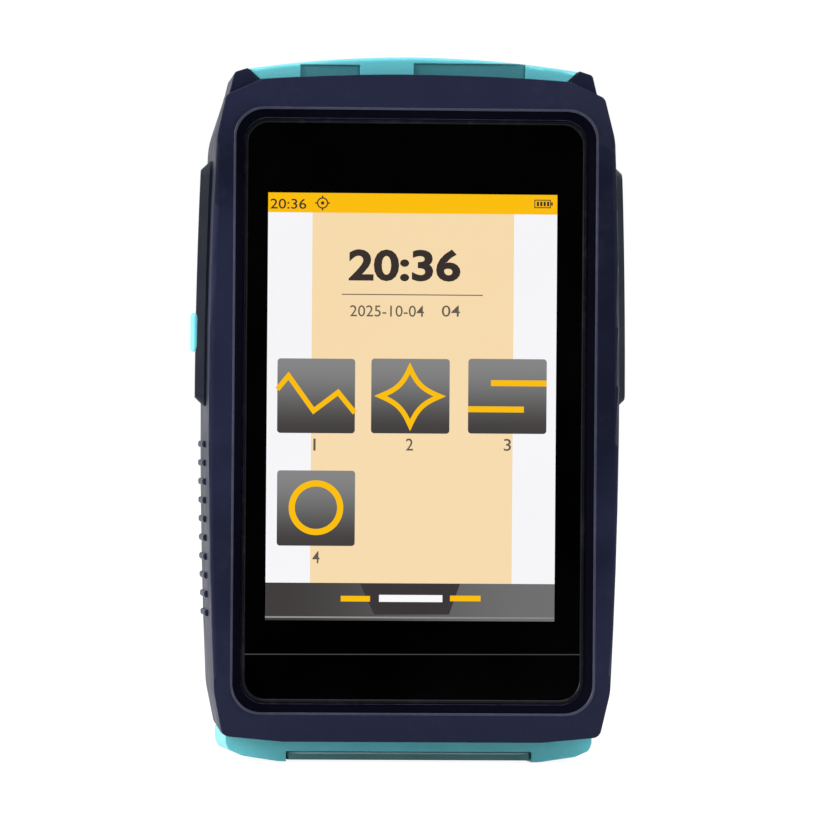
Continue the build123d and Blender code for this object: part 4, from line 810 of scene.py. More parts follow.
def stroke(path: np.ndarray, width: float, closed: bool, front: float, back: float) -> Form:
    """A line of even width: each point of the path is moved by half the width along its two runs' mitre.

    Args:
        path: Points (n, 2) in X and Z.
        width: Width of the line.
        closed: Whether the path returns to its start.
        front: y of the face that is seen.
        back: y of the face behind it.

    Returns:
        The line as a closed band.
    """
    runs = np.roll(path, -1, axis=0) - path
    if not closed:
        runs[-1] = runs[-2]
    runs /= np.linalg.norm(runs, axis=1, keepdims=True)
    before = np.roll(runs, 1, axis=0)
    if not closed:
        before[0] = runs[0]
    normal = np.column_stack([-runs[:, 1], runs[:, 0]])
    previous = np.column_stack([-before[:, 1], before[:, 0]])
    mitre = normal + previous
    mitre /= np.sum(mitre * normal, axis=1, keepdims=True)
    left, right = path + mitre * width / 2, path - mitre * width / 2
    ring = [(left, front), (right, front), (right, back), (left, back)]
    rows = np.stack([np.column_stack([side[:, 0], np.full(len(path), y), side[:, 1]])
                     for side, y in ring], axis=1)
    if not closed:
        return capped(rows)
    return Form(rows.reshape(-1, 3), grid_faces(len(path), len(ring), True))


def circle(centre: Pixel | np.ndarray, radius: float, steps: int = 48) -> np.ndarray:
    """A circle: centre + radius (cos t, sin t).

    Args:
        centre: X and Z of its middle.
        radius: Its radius.
        steps: Number of points.

    Returns:
        Points (n, 2), counter-clockwise as seen from -Y.
    """
    turn = np.linspace(0, 2 * math.pi, steps, endpoint=False)
    return np.column_stack([centre[0] + radius * np.cos(turn), centre[1] + radius * np.sin(turn)])


@dataclass
class Bezel:
    """The slope round the glass: a rounded lip at the edge of the face, lighter as a painted highlight, and a
    near-black band of painted shade down to the ring.

    Attributes:
        side: Distance from the glass to the slope's outer edge at the sides.
        end: The same at the head and the foot.
        wide: Width of the slope.
        deep: How far it goes in.
        corner: Corner radius at its outer edge.
        corner_in: Corner radius at its inner edge.
        lip: Width of the rounded lip.
        proud: How far the near-black band of painted shade stands off the CAD's slope.
        sunk: How far the lip's hidden side lies behind the slope, at its inner and its outer edge.
        thick: How far the band's hidden side lies behind the slope.
        short: How far the band ends before the slope's inner edge.
        lip_steps: Points over the lip.
        band_steps: Points over the band.
        corner_steps: Straight pieces in each corner.
    """

    side: float = 2.65
    end: float = 2.75
    wide: float = 1.8
    deep: float = 1.2
    corner: float = 5.1
    corner_in: float = 4.15
    lip: float = 0.42
    proud: float = 0.03
    sunk: tuple[float, float] = (0.1, 0.12)
    thick: float = 0.15
    short: float = 0.03
    lip_steps: int = 7
    band_steps: int = 6
    corner_steps: int = 12

    def sweep(self, profile: np.ndarray) -> Form:
        """A closed ring: for each (inset d, y) of the profile, the slope's outer outline moved in by d.

        Args:
            profile: Points (n, 2), inset and y, in order inwards along the front and back behind.

        Returns:
            The ring.
        """
        low, high = (np.array(corner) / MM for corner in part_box("touch_glass"))
        rows = []
        for inset, y in profile:
            radius = self.corner - (self.corner - self.corner_in) * inset / self.wide
            outline = rounded_rectangle(
                low[0] - self.side + inset, high[0] + self.side - inset,
                low[2] - self.end + inset, high[2] + self.end - inset, radius, self.corner_steps)
            rows.append(np.column_stack([outline[:, 0], np.full(len(outline), y), outline[:, 1]]))
        points = np.stack(rows)
        return Form(points.reshape(-1, 3), grid_faces(len(rows), points.shape[1], True))

    def slope_y(self, inset: np.ndarray | float) -> np.ndarray | float:
        """y of the CAD's slope at an inset from its outer edge."""
        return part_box("front_shell")[0].y / MM + inset * self.deep / self.wide

    def build(self) -> None:
        """Makes the lip, a quarter ellipse over the edge in a lighter painted-highlight colour, and the
        near-black band of painted shade.
        """
        turn = np.linspace(0.0, math.pi / 2, self.lip_steps)
        edge, foot = self.slope_y(0.0), self.slope_y(self.lip)
        drop = edge + (foot - edge - self.proud) * (1 - np.cos(turn))
        under = np.array([[self.lip, foot + self.sunk[0]], [0.0, edge + self.sunk[1]]])
        # The lip's lighter colour is a painted highlight.
        lip = self.sweep(np.vstack([np.column_stack([self.lip * np.sin(turn), drop]), under]))
        lip.piece("bezel_lip", Trim.RECESS_LIP.value, "housing", "navy_shell", smooth=True)
        # The near-black band is painted shade over the slope.
        across = np.linspace(self.lip, self.wide - self.short, self.band_steps)
        front = np.column_stack([across, self.slope_y(across) - self.proud])
        back = np.column_stack([across[::-1], self.slope_y(across[::-1]) + self.thick])
        band = self.sweep(np.vstack([front, back]))
        band.piece("bezel_shade_band", Trim.RECESS_SHADE.value, "housing", "navy_shell")


@dataclass
class CoverPatches:
    """The two recessed fields in the top cover's front, darker with painted shade.

    Attributes:
        spans: First and last x of each, and how far it rises over the shell.
        sunk: Depth of the fields in the cover.
        below: How far the skins reach down behind the shell's crown.
        sheet: Thickness of the skins.
        gap: Distance from a skin's edge to the field's.
    """

    spans: tuple[tuple[float, float, float], ...] = ((-19.4, -9.2, 1.7), (0.0, 19.2, 2.1))
    sunk: float = 0.5
    below: float = 1.0
    sheet: float = 0.08
    gap: float = 0.04

    def build(self) -> None:
        """Makes a thin darker skin of painted shade on the floor of each field."""
        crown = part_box("front_shell")[1].z / MM
        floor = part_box("top_port_cover")[0].y / MM + self.sunk
        for i, (left, right, rise) in enumerate(self.spans):
            low, high = crown - self.below, crown + rise - self.gap
            first, last = left + self.gap, right - self.gap
            outline = np.array([[first, low], [last, low], [last, high], [first, high]])
            # Each skin is a darker sheet of painted shade.
            plate(outline, floor - self.sheet / 2, floor + self.sheet).piece(
                f"cover_shade_patch_{i + 1}", Trim.PATCH_TEAL.value, "top_cover", "teal_plastic")


@dataclass
class FlapLip:
    """A rounded lip along the upper edge of the charging flap, light in colour as a painted highlight.

    Attributes:
        height: Half its height.
        depth: Half its depth.
        rise: Its middle over the flap's lower face.
        inset: Distance from its tips to the flap's ends.
        taper: Length of each tapering end.
        tip: Angle in radians at which a tapering end starts.
        thin: Least share of its size at the tips.
        steps: Points along each end.
        around: Points round it.
    """

    height: float = 0.16
    depth: float = 0.12
    rise: float = 1.22
    inset: float = 0.1
    taper: float = 2.5
    tip: float = 0.05
    thin: float = 0.02
    steps: int = 9
    around: int = 16

    def build(self) -> None:
        """An ellipse swept along X, its size following sin of a quarter turn at both ends."""
        low, high = (np.array(corner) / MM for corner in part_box("charge_port_flap"))
        reach = high[0] - self.inset
        end = reach - self.taper * np.cos(np.linspace(self.tip, math.pi / 2, self.steps))
        along = np.sort(np.concatenate([-end, end]))
        size = np.sin(np.clip((reach - np.abs(along)) / self.taper, self.thin, 1.0) * math.pi / 2)
        turn = np.linspace(0, 2 * math.pi, self.around, endpoint=False)
        points = np.stack(np.broadcast_arrays(
            along[:, None], low[1] + self.depth * size[:, None] * np.cos(turn),
            low[2] + self.rise + self.height * size[:, None] * np.sin(turn)), axis=-1)
        # Its light colour is a painted highlight.
        capped(points).piece("flap_highlight_lip", Trim.LIP_TEAL.value, "foot_flap", "teal_rubber", smooth=True)


@dataclass
class ScrewDrives:
    """Six-lobed drive marks on the screw heads that can be seen: dark sheets of painted shade where the
    drive's hollow is.

    Attributes:
        wave: Share of the radius by which the lobes go in and out.
        share: Radius of a mark as a share of the head's radius.
        sheet: Thickness of a mark.
        lobe_count: Number of lobes.
        steps: Points round a mark.
        shell_heads: X and Z of the middles of the shell's screws.
        shell_radius: Radius of their heads.
        plate_heads: X and Y of the middles of the port plate's screws.
        plate_radius: Radius of their heads.
    """

    wave: float = 0.14
    share: float = 0.52
    sheet: float = 0.05
    lobe_count: int = 6
    steps: int = 48
    shell_heads: Places = ((-27.6, 12.2), (27.6, 12.2), (-27.8, 102.9), (27.8, 102.9))
    shell_radius: float = 2.0
    plate_heads: Places = ((-8.0, -6.9), (8.0, -6.9), (-8.0, 7.5), (8.0, 7.5))
    plate_radius: float = 1.5

    def lobes(self, centre: tuple[float, float], radius: float) -> np.ndarray:
        """The outline of a mark: centre + share radius (1 + wave cos(lobes t)) (cos t, sin t).

        Args:
            centre: Middle of the head.
            radius: Radius of the head.

        Returns:
            Points (n, 2).
        """
        turn = np.linspace(0, 2 * math.pi, self.steps, endpoint=False)
        reach = radius * self.share * (1 + self.wave * np.cos(self.lobe_count * turn))
        return np.column_stack([centre[0] + reach * np.cos(turn), centre[1] + reach * np.sin(turn)])

    def build(self) -> None:
        """Marks the shell screws, seen from behind, and the port plate's screws, seen from above."""
        head_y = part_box("shell_screws")[1].y / MM
        marks = Form(np.zeros((0, 3)), [])
        for centre in self.shell_heads:
            flat = self.lobes(centre, self.shell_radius)
            marks += plate(flat, head_y - self.sheet, head_y + self.sheet / 2)
        head_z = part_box("panel_screws")[1].z / MM
        for centre in self.plate_heads:
            flat = self.lobes(centre, self.plate_radius)
            rows = np.stack([np.column_stack([flat, np.full(len(flat), z)])
                             for z in (head_z - self.sheet, head_z + self.sheet / 2)])
            marks += capped(rows)
        marks.piece("screw_drive_shades", Trim.DRIVE_SHADE.value, "housing", "steel")


@dataclass
class BarrelThreads:
    """The fine thread round the two threaded optical ports.

    Attributes:
        nodes: The CAD nodes that it goes round.
        radius: Radius of the barrel.
        pitch: Rise in one turn.
        ridge: Half the height of the ridge.
        sunk: How far its middle lies inside the barrel.
        span: Lowest and highest z of the thread under the barrel's top.
        thin: Least share of its size at the ends.
        steps: Points in one turn.
        around: Points round the ridge.
    """

    nodes: tuple[str, ...] = ("power_meter_adapter", "otdr_adapter")
    radius: float = 4.0
    pitch: float = 0.6
    ridge: float = 0.14
    sunk: float = 0.02
    span: tuple[float, float] = (4.9, 0.6)
    thin: float = 0.1
    steps: int = 40
    around: int = 8

    def build(self) -> None:
        """A small circle swept along a helix whose size fades over its first and last half turn."""
        turns = (self.span[0] - self.span[1]) / self.pitch
        along = np.linspace(0.0, turns, int(turns * self.steps))[:, None]
        size = self.ridge * np.clip(2 * np.minimum(along, turns - along), self.thin, 1.0)
        angle = along * 2 * math.pi
        turn = -np.linspace(0, 2 * math.pi, self.around, endpoint=False)
        reach = self.radius - self.sunk + size * np.cos(turn)
        for node in self.nodes:
            low, high = (np.array(corner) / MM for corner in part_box(node))
            middle = (low + high) / 2
            lift = high[2] - self.span[0] + along * self.pitch + size * np.sin(turn)
            rows = np.stack([middle[0] + reach * np.cos(angle), middle[1] + reach * np.sin(angle), lift],
                            axis=-1)
            capped(rows).piece(f"thread_{node}", Trim.THREAD_METAL.value, "housing", "adapter_metal",
                               smooth=True)


@dataclass
class Photo:
    """How the photograph's pixels lie on the glass.

    Attributes:
        scale: Millimetres in a pixel.
        centre: Pixel at the middle of the glass.
        floor: Pixel row of the surface that it stands on.
        lean: How far the object leans to the right, in degrees.
    """

    scale: float = 0.171
    centre: tuple[float, float] = (415.2, 411.5)
    floor: float = 761.0
    lean: float = 0.42

    def on_glass(self, pixels: Places | list[Pixel] | np.ndarray) -> np.ndarray:
        """Places pixels on the glass: shifted to its middle, turned back by the lean and scaled.

        Args:
            pixels: Points (column, row) in the photograph.

        Returns:
            Points (n, 2) in X and Z, in millimetres, with z from the floor.
        """
        at = np.array(pixels, float) - np.array(self.centre)
        turn = math.radians(self.lean)
        across = at[:, 0] * math.cos(turn) + at[:, 1] * math.sin(turn)
        down = at[:, 1] * math.cos(turn) - at[:, 0] * math.sin(turn)
        return np.column_stack([across, self.floor - self.centre[1] - down]) * self.scale


class Layer(IntEnum):
    """How many sheets of the lit picture lie under a sheet."""

    GROUND = 0
    AREA = 1
    FACE = 2
    MARK = 3


@dataclass(frozen=True)
class Picture:
    """Where the marks of the lit picture stand, in pixels of the photograph.

    A place is a column and a row, and a box is its left, right, top and bottom.

    Attributes:
        area: Box of the whole picture.
        bar_end: Last row of the status bar.
        band: First and last column of the band in the middle.
        dock_start: First row of the dock.
        tiles: Boxes of the tiles.
        tile_radius: Corner radius of a tile.
        tab: Corners of the dock's darker tab.
        tab_bar: Box of the white bar on it.
        dock_edge: Ends of the line along the dock's foot.
        dock_edge_width: Its width.
        dashes: Boxes of the dock's two dashes.
        mark_width: Width of the lines of the tiles' marks.
        zigzag: Places of the first tile's mark.
        diamond: Corners of the second tile's mark.
        diamond_middle: Its middle.
        diamond_bow: How far its sides bow inwards.
        bars: Boxes of the third tile's mark.
        ring: Middle of the fourth tile's mark.
        ring_radius: Its radius.
        ring_width: Width of its line.
        clock: Box of the large digits.
        small_clock: Box of the status bar's digits.
        target: Middle of the status bar's target.
        target_radius: Radius of its ring.
        target_dot: Radius of its dot.
        target_arms: Distances from its middle at which its arms start and end.
        target_width: Width of its lines.
        cell: Corners of the status bar's battery sign.
        cell_width: Width of its line.
        cell_bar: Box of the first bar in it.
        cell_step: Distance from bar to bar.
        cell_bars: Number of bars.
        cell_tip: Box of its tip.
        rule: Ends of the line over the date.
        rule_width: Its width.
        date: Box of the date's digits.
        day: Box of the two digits beside it.
        numbers: Middles of the tiles' numbers.
        number_half: Half the width and height of a number.
        divider: Ends of the thin line under the picture.
        divider_width: Its width.
    """

    area: PixelBox = (267.9, 557.1, 194.2, 619.5)
    bar_end: float = 213.8
    band: tuple[float, float] = (312.3, 514.0)
    dock_start: float = 582.2
    tiles: tuple[PixelBox, ...] = (
        (278.4, 356.0, 358.4, 432.6), (372.2, 450.6, 358.6, 433.0),
        (469.2, 547.8, 358.8, 433.3), (278.0, 355.9, 469.8, 544.7))
    tile_radius: float = 3.2
    tab: Places = ((375, 613.2), (450, 613.4), (461, 582.8), (361, 582.4))
    tab_bar: PixelBox = (380, 443.4, 593.8, 600.8)
    dock_edge: Places = ((266.2, 615.4), (555.4, 617.2))
    dock_edge_width: float = 1.6
    dashes: tuple[PixelBox, ...] = ((341.7, 371, 594.6, 600.2), (451, 481.6, 594.6, 600.2))
    mark_width: float = 5.0
    zigzag: Places = ((278.4, 389), (289.6, 375.5), (314.6, 410.4), (339.1, 392), (355.8, 412.4))
    diamond: Places = ((411, 368), (440.7, 396), (411, 424.7), (381.4, 395.6))
    diamond_middle: Pixel = (411, 396)
    diamond_bow: float = 5.0
    bars: tuple[PixelBox, ...] = ((492, 547.8, 380, 386), (469.2, 525, 406, 412))
    ring: Pixel = (317, 506.8)
    ring_radius: float = 24.2
    ring_width: float = 6.2
    clock: PixelBox = (345.7, 465.6, 249.4, 281.5)
    small_clock: PixelBox = (271.5, 307.4, 199.4, 209.4)
    target: Pixel = (323.6, 203.6)
    target_radius: float = 5.0
    target_dot: float = 1.7
    target_arms: tuple[float, float] = (4.6, 7.4)
    target_width: float = 1.3
    cell: Places = ((536, 200.4), (551.6, 200.5), (551.6, 208), (536, 207.9))
    cell_width: float = 0.9
    cell_bar: PixelBox = (538, 540.2, 201.9, 206.5)
    cell_step: float = 3.4
    cell_bars: int = 4
    cell_tip: PixelBox = (552.3, 554, 202.6, 205.8)
    rule: Places = ((342.7, 294.4), (484, 295.4))
    rule_width: float = 1.0
    date: PixelBox = (351, 425, 305.5, 316.7)
    day: PixelBox = (442, 462, 305.5, 316.7)
    numbers: Places = ((315.5, 444), (410.5, 444), (508.5, 444.4), (317, 556))
    number_half: tuple[float, float] = (3.6, 6)
    divider: Places = ((244.2, 652.4), (581.6, 653.6))
    divider_width: float = 0.9


@dataclass
class Screen:
    """The lit picture on the display, drawn as thin sheets on the glass.

    Attributes:
        photo: How the photograph's pixels lie on the glass.
        at: Where the marks stand.
        sheet: Thickness of a sheet.
        overlap: How far a sheet reaches into the one under it.
        square: Corner radius in pixels of a box with square corners.
        square_wide: Corner radius in millimetres of a sheet over the whole width.
        corner_steps: Straight pieces in a round corner.
        bow_steps: Straight pieces in a bowed side.
        ring_steps: Straight pieces in the ring.
        dot_steps: Straight pieces round the target's dot.
        curve_steps: Straight pieces in each curve of a digit.
        widest: How much wider than its own shape a group of digits may get.
        time_text: Digits of the two clocks.
        date_text: Digits of the date.
        day_text: The two digits beside it.
        bold: How much bolder than the plain face the large digits are.
        plain: The same for small digits.
        light: The same for the date's.
    """

    photo: Photo = field(default_factory=Photo)
    at: Picture = field(default_factory=Picture)
    sheet: float = 0.012
    overlap: float = 0.004
    square: float = 0.01
    square_wide: float = 0.002
    corner_steps: int = 6
    bow_steps: int = 12
    ring_steps: int = 64
    dot_steps: int = 20
    curve_steps: int = 4
    widest: float = 1.22
    time_text: str = "20:36"
    date_text: str = "2025-10-04"
    day_text: str = "04"
    bold: float = 0.03
    plain: float = 0.004
    light: float = 0.002

    def layer(self, level: Layer) -> tuple[float, float]:
        """Front and back y of a sheet on the glass's outer face.

        Args:
            level: How many sheets lie under it.

        Returns:
            y of its front and y of its back.
        """
        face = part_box("touch_glass")[0].y / MM
        return face - (level + 1) * self.sheet, face - level * self.sheet + self.overlap

    def flat(self, box: PixelBox, row: float, corner: float, steps: int, level: Layer) -> Form:
        """A box of pixels as an upright sheet.

        Args:
            box: The box.
            row: Row at which its middle is taken, as the photograph leans.
            corner: Corner radius in millimetres.
            steps: Straight pieces in each corner.
            level: How many sheets lie under it.

        Returns:
            The sheet.
        """
        left, right, top, bottom = box
        middle = (left + right) / 2
        z0, z1 = self.photo.on_glass([(middle, bottom), (middle, top)])[:, 1]
        x_mid = self.photo.on_glass([(middle, row)])[0][0]
        half = (right - left) / 2 * self.photo.scale
        outline = rounded_rectangle(x_mid - half, x_mid + half, z0, z1, corner, steps)
        return plate(outline, *self.layer(level))

    def rectangle(self, box: PixelBox, level: Layer, radius: float = 0.0) -> Form:
        """A box of pixels as a sheet that stands where the box's own middle does.

        Args:
            box: The box.
            level: How many sheets lie under it.
            radius: Corner radius in pixels, or 0 for square corners.

        Returns:
            The sheet.
        """
        corner = max(radius, self.square) * self.photo.scale
        return self.flat(box, (box[2] + box[3]) / 2, corner, self.corner_steps if radius else 1, level)

    def across(self, top: float, bottom: float, level: Layer) -> Form:
        """A sheet over the picture's whole width.

        Args:
            top: First row.
            bottom: Last row.
            level: How many sheets lie under it.

        Returns:
            The sheet.
        """
        left, right, first, last = self.at.area
        return self.flat((left, right, top, bottom), (first + last) / 2, self.square_wide, 1, level)

    def line(self, pixels: Places | np.ndarray, width: float, level: Layer, closed: bool = False) -> Form:
        """A line through pixels.

        Args:
            pixels: The places that it goes through.
            width: Its width in pixels.
            level: How many sheets lie under it.
            closed: Whether it returns to its start.

        Returns:
            The line.
        """
        return stroke(self.photo.on_glass(pixels), width * self.photo.scale, closed, *self.layer(level))

    def numerals(self, text: str, box: PixelBox, weight: float) -> Form:
        """Plain digits as high as a box of pixels and at most as wide.

        Args:
            text: The digits.
            box: Where they stand.
            weight: How much bolder than the plain face they are, as a share of the height.

        Returns:
            The digits as sheets.
        """
        curve = bpy.data.curves.new("digits", "FONT")
        curve.body = text
        curve.offset = weight
        curve.resolution_u = self.curve_steps
        curve.extrude = 0.5
        holder = bpy.data.objects.new("digits", curve)
        bpy.context.scene.collection.objects.link(holder)
        mesh = bpy.data.meshes.new_from_object(holder)
        solid = np.zeros(len(mesh.vertices) * 3)
        mesh.vertices.foreach_get("co", solid)
        solid = solid.reshape(-1, 3)
        faces = [list(face.vertices) for face in mesh.polygons]
        bpy.data.objects.remove(holder)
        bpy.data.meshes.remove(mesh)
        low, high = solid.min(0), solid.max(0)
        left, right, top, bottom = box
        x0, z0 = self.photo.on_glass([((left + right) / 2, (top + bottom) / 2)])[0]
        width, height = (right - left) * self.photo.scale, (bottom - top) * self.photo.scale
        unit = (solid - (low + high) / 2) / (high - low)
        width = min(width, height * (high - low)[0] / (high - low)[1] * self.widest)
        front, back = self.layer(Layer.FACE)
        points = np.column_stack([x0 + unit[:, 0] * width,
                                  (front + back) / 2 - unit[:, 2] * (back - front),
                                  z0 + unit[:, 1] * height])
        return Form(points, faces)

    def put(self, form: Form, name: str, finish: Finish) -> None:
        """Adds a sheet to the housing."""
        form.piece(name, finish, "housing", "display")

    def build(self) -> None:
        """Makes every sheet, joined by colour."""
        self.grounds()
        self.tile_faces()
        self.yellow_marks()
        self.dark_marks()

    def grounds(self) -> None:
        """The plain areas: sheet behind all, band in the middle, and the dock with its tab and edge."""
        at = self.at
        left, right, _, bottom = at.area
        x0, x1 = self.photo.on_glass([(left, bottom), (right, bottom)])[:, 0]
        dock = replace(Light.DOCK.value, span=(x0, x1), across=True)
        band = self.rectangle((*at.band, at.bar_end, at.dock_start), Layer.AREA)
        tab = plate(self.photo.on_glass(at.tab), *self.layer(Layer.FACE))
        edge = self.line(at.dock_edge, at.dock_edge_width, Layer.FACE)
        self.put(self.rectangle(at.area, Layer.GROUND), "screen_ground", Light.WHITE.value)
        self.put(band, "screen_band", Light.PEACH.value)
        self.put(self.across(at.dock_start, bottom, Layer.AREA), "screen_dock", dock)
        self.put(tab, "screen_dock_tab", Light.DOCK_TAB.value)
        self.put(self.rectangle(at.tab_bar, Layer.MARK), "screen_dock_bar", Light.DOCK_BAR.value)
        self.put(edge, "screen_dock_edge", Light.DOCK_EDGE.value)

    def tile_faces(self) -> None:
        """The four grey tiles, lighter at the top."""
        for i, box in enumerate(self.at.tiles):
            name = f"screen_tile_{i + 1}"
            z = self.photo.on_glass([(box[0], box[3]), (box[0], box[2])])[:, 1]
            finish = replace(Light.TILE.value, name=name, span=(z[0], z[1]))
            self.put(self.rectangle(box, Layer.FACE, self.at.tile_radius), name, finish)

    def diamond(self) -> Form:
        """A star of four bowed sides: a + (b - a) t from corner to corner, moved inwards by bow sin(pi t).

        Returns:
            The closed line.
        """
        corners = np.array(self.at.diamond, float)
        after = np.roll(corners, -1, axis=0)
        inwards = np.array(self.at.diamond_middle) - (corners + after) / 2
        inwards /= np.linalg.norm(inwards, axis=1, keepdims=True)
        share = np.linspace(0, 1, self.bow_steps + 1)[:-1, None]
        bow = self.at.diamond_bow * np.sin(np.pi * share)
        points = corners[:, None] + (after - corners)[:, None] * share + inwards[:, None] * bow
        return self.line(points.reshape(-1, 2), self.at.mark_width, Layer.MARK, closed=True)

    def yellow_marks(self) -> None:
        """Status bar, the mark on each tile and the dock's two dashes."""
        at, scale = self.at, self.photo.scale
        self.put(self.across(at.area[2], at.bar_end, Layer.AREA), "screen_status_bar", Light.YELLOW.value)
        marks = self.line(at.zigzag, at.mark_width, Layer.MARK) + self.diamond()
        for box in at.bars:
            marks += self.rectangle(box, Layer.MARK)
        loop = circle(self.photo.on_glass([at.ring])[0], at.ring_radius * scale, self.ring_steps)
        marks += stroke(loop, at.ring_width * scale, True, *self.layer(Layer.MARK))
        for box in at.dashes:
            marks += self.rectangle(box, Layer.MARK)
        self.put(marks, "screen_marks", Light.YELLOW.value)

    def target(self) -> Form:
        """The status bar's target.

        Returns:
            Its ring, its dot and its four arms.
        """
        at, scale, sheet = self.at, self.photo.scale, self.layer(Layer.FACE)
        centre = self.photo.on_glass([at.target])[0]
        width = at.target_width * scale
        sign = stroke(circle(centre, at.target_radius * scale), width, True, *sheet)
        sign += plate(circle(centre, at.target_dot * scale, self.dot_steps), *sheet)
        for way in ((1, 0), (-1, 0), (0, 1), (0, -1)):
            sign += stroke(centre + np.outer(at.target_arms, way) * scale, width, False, *sheet)
        return sign

    def cell(self) -> Form:
        """The status bar's battery sign.

        Returns:
            Its frame, its bars and its tip.
        """
        at = self.at
        sign = self.line(at.cell, at.cell_width, Layer.FACE, closed=True)
        left, right, top, bottom = at.cell_bar
        for i in range(at.cell_bars):
            shift = at.cell_step * i
            sign += self.rectangle((left + shift, right + shift, top, bottom), Layer.FACE)
        return sign + self.rectangle(at.cell_tip, Layer.FACE)

    def dark_marks(self) -> None:
        """Clocks and signs of the status bar, date and tile numbers as plain digits, and the thin lines."""
        at = self.at
        clock = self.numerals(self.time_text, at.clock, self.bold)
        clock += self.numerals(self.time_text, at.small_clock, self.plain)
        clock += self.target()
        clock += self.cell()
        self.put(clock, "screen_clock", Light.INK.value)
        date = self.numerals(self.date_text, at.date, self.light)
        date += self.numerals(self.day_text, at.day, self.light)
        date += self.line(at.rule, at.rule_width, Layer.FACE)
        wide, high = at.number_half
        for i, (x, y) in enumerate(at.numbers):
            date += self.numerals(str(i + 1), (x - wide, x + wide, y - high, y + high), self.plain)
        self.put(date, "screen_date", Light.SOFT_INK.value)
        # The line under the picture is no part of the lit display; its glow is painted light.
        divider = self.line(at.divider, at.divider_width, Layer.GROUND)
        self.put(divider, "glass_divider", Light.DIVIDER.value)


# Room


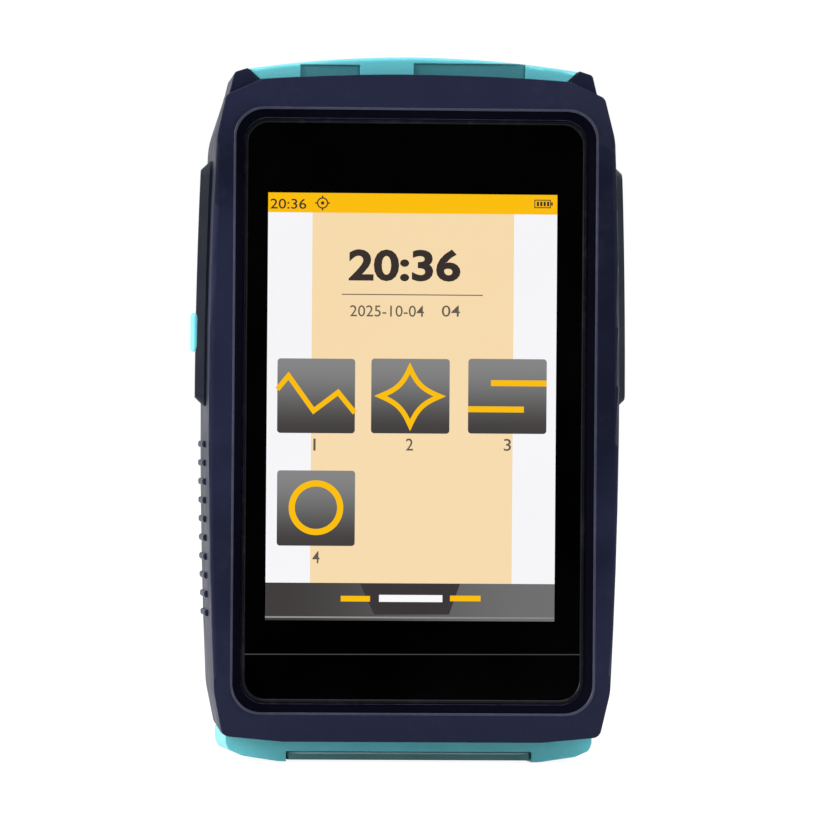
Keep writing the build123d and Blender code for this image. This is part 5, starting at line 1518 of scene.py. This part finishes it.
@dataclass
class Room:
    """Pale floor, white surround and soft lamps.

    Attributes:
        floor_reach: Half the floor's width in metres.
        floor_share: Share of the floor's look that is even white rather than lit, which thins the shadow.
        floor_glow: Strength of that white.
        shadow_reach: From which distance in metres to which the floor turns to even white only.
        dark_from: How far in front of the object the floor is dark in reflections, in metres.
        fill: Strength of the even light from all round.
        behind: Heights of a reflection's Y from which to which it turns from dark in front to light behind.
        behind_light: Strength of the dark and of the light.
        middle: Where the lamps point to, in metres.
        lamps: Name, place in metres, side in metres and power in watts of each lamp.
    """

    floor_reach: float = 6.0
    floor_share: float = 0.82
    floor_glow: float = 1.12
    shadow_reach: tuple[float, float] = (0.06, 0.22)
    dark_from: float = 0.42
    fill: float = 0.30
    behind: tuple[float, float] = (-0.97, -0.45)
    behind_light: tuple[float, float] = (0.004, 0.8)
    middle: Triple = (0.0, 0.0, 0.06)
    lamps: tuple[tuple[str, Triple, float, float], ...] = (
        ("key_left", (-1.75, -0.6, 0.8), 1.1, 26.0),
        ("fill_right", (1.3, -1.3, 0.7), 1.2, 12.0),
        ("top", (0.0, 0.1, 1.6), 1.2, 14.0),
        ("back_left", (-1.2, 0.9, 0.5), 0.8, 8.0),
        ("back_right", (1.2, 0.9, 0.6), 0.8, 6.0),
    )

    def build(self) -> None:
        """Makes the floor, the surround and the lamps."""
        self.floor()
        self.surround()
        for lamp in self.lamps:
            self.lamp(*lamp)

    def floor(self) -> None:
        """A flat pale sheet under the object, which looks white and keeps the shadow."""
        corners = self.floor_reach * np.array([[-1, -1, 0], [1, -1, 0], [1, 1, 0], [-1, 1, 0]])
        mesh = bpy.data.meshes.new("floor")
        mesh.from_pydata(corners.tolist(), [], [[0, 1, 2, 3]])
        graph = Graph("floor_white")
        white = graph.mix(graph.noise(400.0), srgb(250, 250, 250), srgb(244, 244, 244))
        graph.shade(Base_Color=white, Roughness=0.9)
        path = graph.node("ShaderNodeLightPath")
        seen = graph.maths("MAXIMUM", path.outputs["Is Camera Ray"], path.outputs["Is Glossy Ray"])
        seen = graph.maths("MAXIMUM", seen, path.outputs["Is Transmission Ray"])
        glow = graph.node("ShaderNodeEmission")
        near = graph.ramp(graph.axis("Y"), -self.dark_from, -self.dark_from / 2)
        direct = graph.maths("MAXIMUM", path.outputs["Is Camera Ray"], near)
        graph.link(graph.maths("MULTIPLY", direct, self.floor_glow), glow.inputs["Strength"])
        joined = graph.node("ShaderNodeMixShader")
        away = graph.node("ShaderNodeVectorMath", operation="LENGTH")
        graph.link(graph.place, away.inputs[0])
        share = graph.ramp(away.outputs["Value"], *self.shadow_reach, self.floor_share, 1.0)
        graph.link(graph.maths("MULTIPLY", seen, share), joined.inputs[0])
        graph.link(graph.shader.outputs[0], joined.inputs[1])
        graph.link(glow.outputs[0], joined.inputs[2])
        graph.link(joined.outputs[0], graph.tree.nodes["Material Output"].inputs["Surface"])
        mesh.materials.append(graph.material)
        sheet = bpy.data.objects.new("floor", mesh)
        bpy.context.scene.collection.objects.link(sheet)

    def surround(self) -> None:
        """White where the camera looks, white behind and dark in front for gloss, dim grey for light."""
        world = bpy.data.worlds.new("surround")
        bpy.context.scene.world = world
        world.use_nodes = True
        tree = world.node_tree
        nodes, links = tree.nodes, tree.links
        path = nodes.new("ShaderNodeLightPath")
        place = nodes.new("ShaderNodeTexCoord")
        parts = nodes.new("ShaderNodeSeparateXYZ")
        links.new(place.outputs["Generated"], parts.inputs[0])
        behind = nodes.new("ShaderNodeMapRange")
        behind.interpolation_type = "SMOOTHSTEP"
        names = ("From Min", "From Max", "To Min", "To Max")
        for name, number in zip(names, (*self.behind, *self.behind_light)):
            behind.inputs[name].default_value = number
        links.new(parts.outputs["Y"], behind.inputs["Value"])
        gloss = nodes.new("ShaderNodeMix")
        links.new(path.outputs["Is Glossy Ray"], gloss.inputs["Factor"])
        gloss.inputs[2].default_value = self.fill
        links.new(behind.outputs["Result"], gloss.inputs[3])
        seen = nodes.new("ShaderNodeMath")
        seen.operation = "MAXIMUM"
        links.new(path.outputs["Is Camera Ray"], seen.inputs[0])
        links.new(path.outputs["Is Transmission Ray"], seen.inputs[1])
        level = nodes.new("ShaderNodeMix")
        links.new(seen.outputs[0], level.inputs["Factor"])
        links.new(gloss.outputs[0], level.inputs[2])
        level.inputs[3].default_value = 1.0
        background = nodes["Background"]
        background.inputs["Color"].default_value = (1, 1, 1, 1)
        links.new(level.outputs[0], background.inputs["Strength"])

    def lamp(self, name: str, place: Triple, size: float, power: float) -> None:
        """A square soft lamp that faces the object's middle.

        Args:
            name: Name of the lamp.
            place: Where it hangs, in metres.
            size: Its side in metres.
            power: Its power in watts.
        """
        light = bpy.data.lights.new(name, "AREA")
        light.shape = "SQUARE"
        light.size = size
        light.energy = power
        holder = bpy.data.objects.new(name, light)
        holder.location = place
        holder.rotation_euler = Look.turn(np.array(self.middle) - np.array(place))
        bpy.context.scene.collection.objects.link(holder)


@dataclass
class Look:
    """The camera, at the photograph's angle.

    Attributes:
        azimuth: Degrees from straight ahead, negative to the object's left.
        distance: Distance from the aim in metres.
        aim: Point that it looks at, in millimetres.
        width: Width of the view at the aim, in millimetres.
        lean: How far the picture turns, in degrees.
        sensor: Width of the camera's sensor in millimetres.
        near: Nearest distance that it sees, in metres.
    """

    azimuth: float = -5.5
    distance: float = 1.8
    aim: Triple = (-0.45, -14.0, 60.0)
    width: float = 139.95
    lean: float = -0.42
    sensor: float = 36.0
    near: float = 0.05

    @staticmethod
    def turn(aim: np.ndarray) -> Triple:
        """Rotation that points a lamp or camera along a direction.

        Args:
            aim: The direction.

        Returns:
            Euler angles in radians.
        """
        x, y, z = aim / np.linalg.norm(aim)
        return (math.acos(-z), 0.0, math.atan2(y, x) - math.pi / 2)

    def build(self) -> None:
        """Sets up the camera."""
        camera = bpy.data.cameras.new("view")
        camera.sensor_width = self.sensor
        camera.lens = self.sensor * self.distance / (self.width * MM)
        camera.clip_start = self.near
        holder = bpy.data.objects.new("view", camera)
        turn = math.radians(self.azimuth)
        aim = np.array(self.aim) * MM
        back = np.array([math.sin(turn), -math.cos(turn), 0.0])
        holder.location = aim + back * self.distance
        holder.rotation_euler = (math.pi / 2, math.radians(self.lean), turn)
        bpy.context.scene.collection.objects.link(holder)
        bpy.context.scene.camera = holder


def dress(frame: dict) -> None:
    """Gives every CAD node that is kept the finish of its material slot.
    """
    by_slot = {slot.name.lower(): slot.value for slot in Slot}
    for name, node in frame["nodes"].items():
        for holder in node.material_slots:
            key = holder.material.name.split(".")[0]
            holder.material = by_slot[key].material()
        LOG.info("node %s dressed in %s", name, node.material_slots[0].material.name)


def main() -> None:
    """Builds every class in order."""
    logging.basicConfig(level=logging.INFO, format="%(message)s")
    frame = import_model()
    dress(frame)
    Bezel().build()
    CoverPatches().build()
    FlapLip().build()
    ScrewDrives().build()
    BarrelThreads().build()
    Screen().build()
    Room().build()
    Look().build()
    bpy.context.scene.view_settings.view_transform = "Standard"


if __name__ == "__main__":
    main()
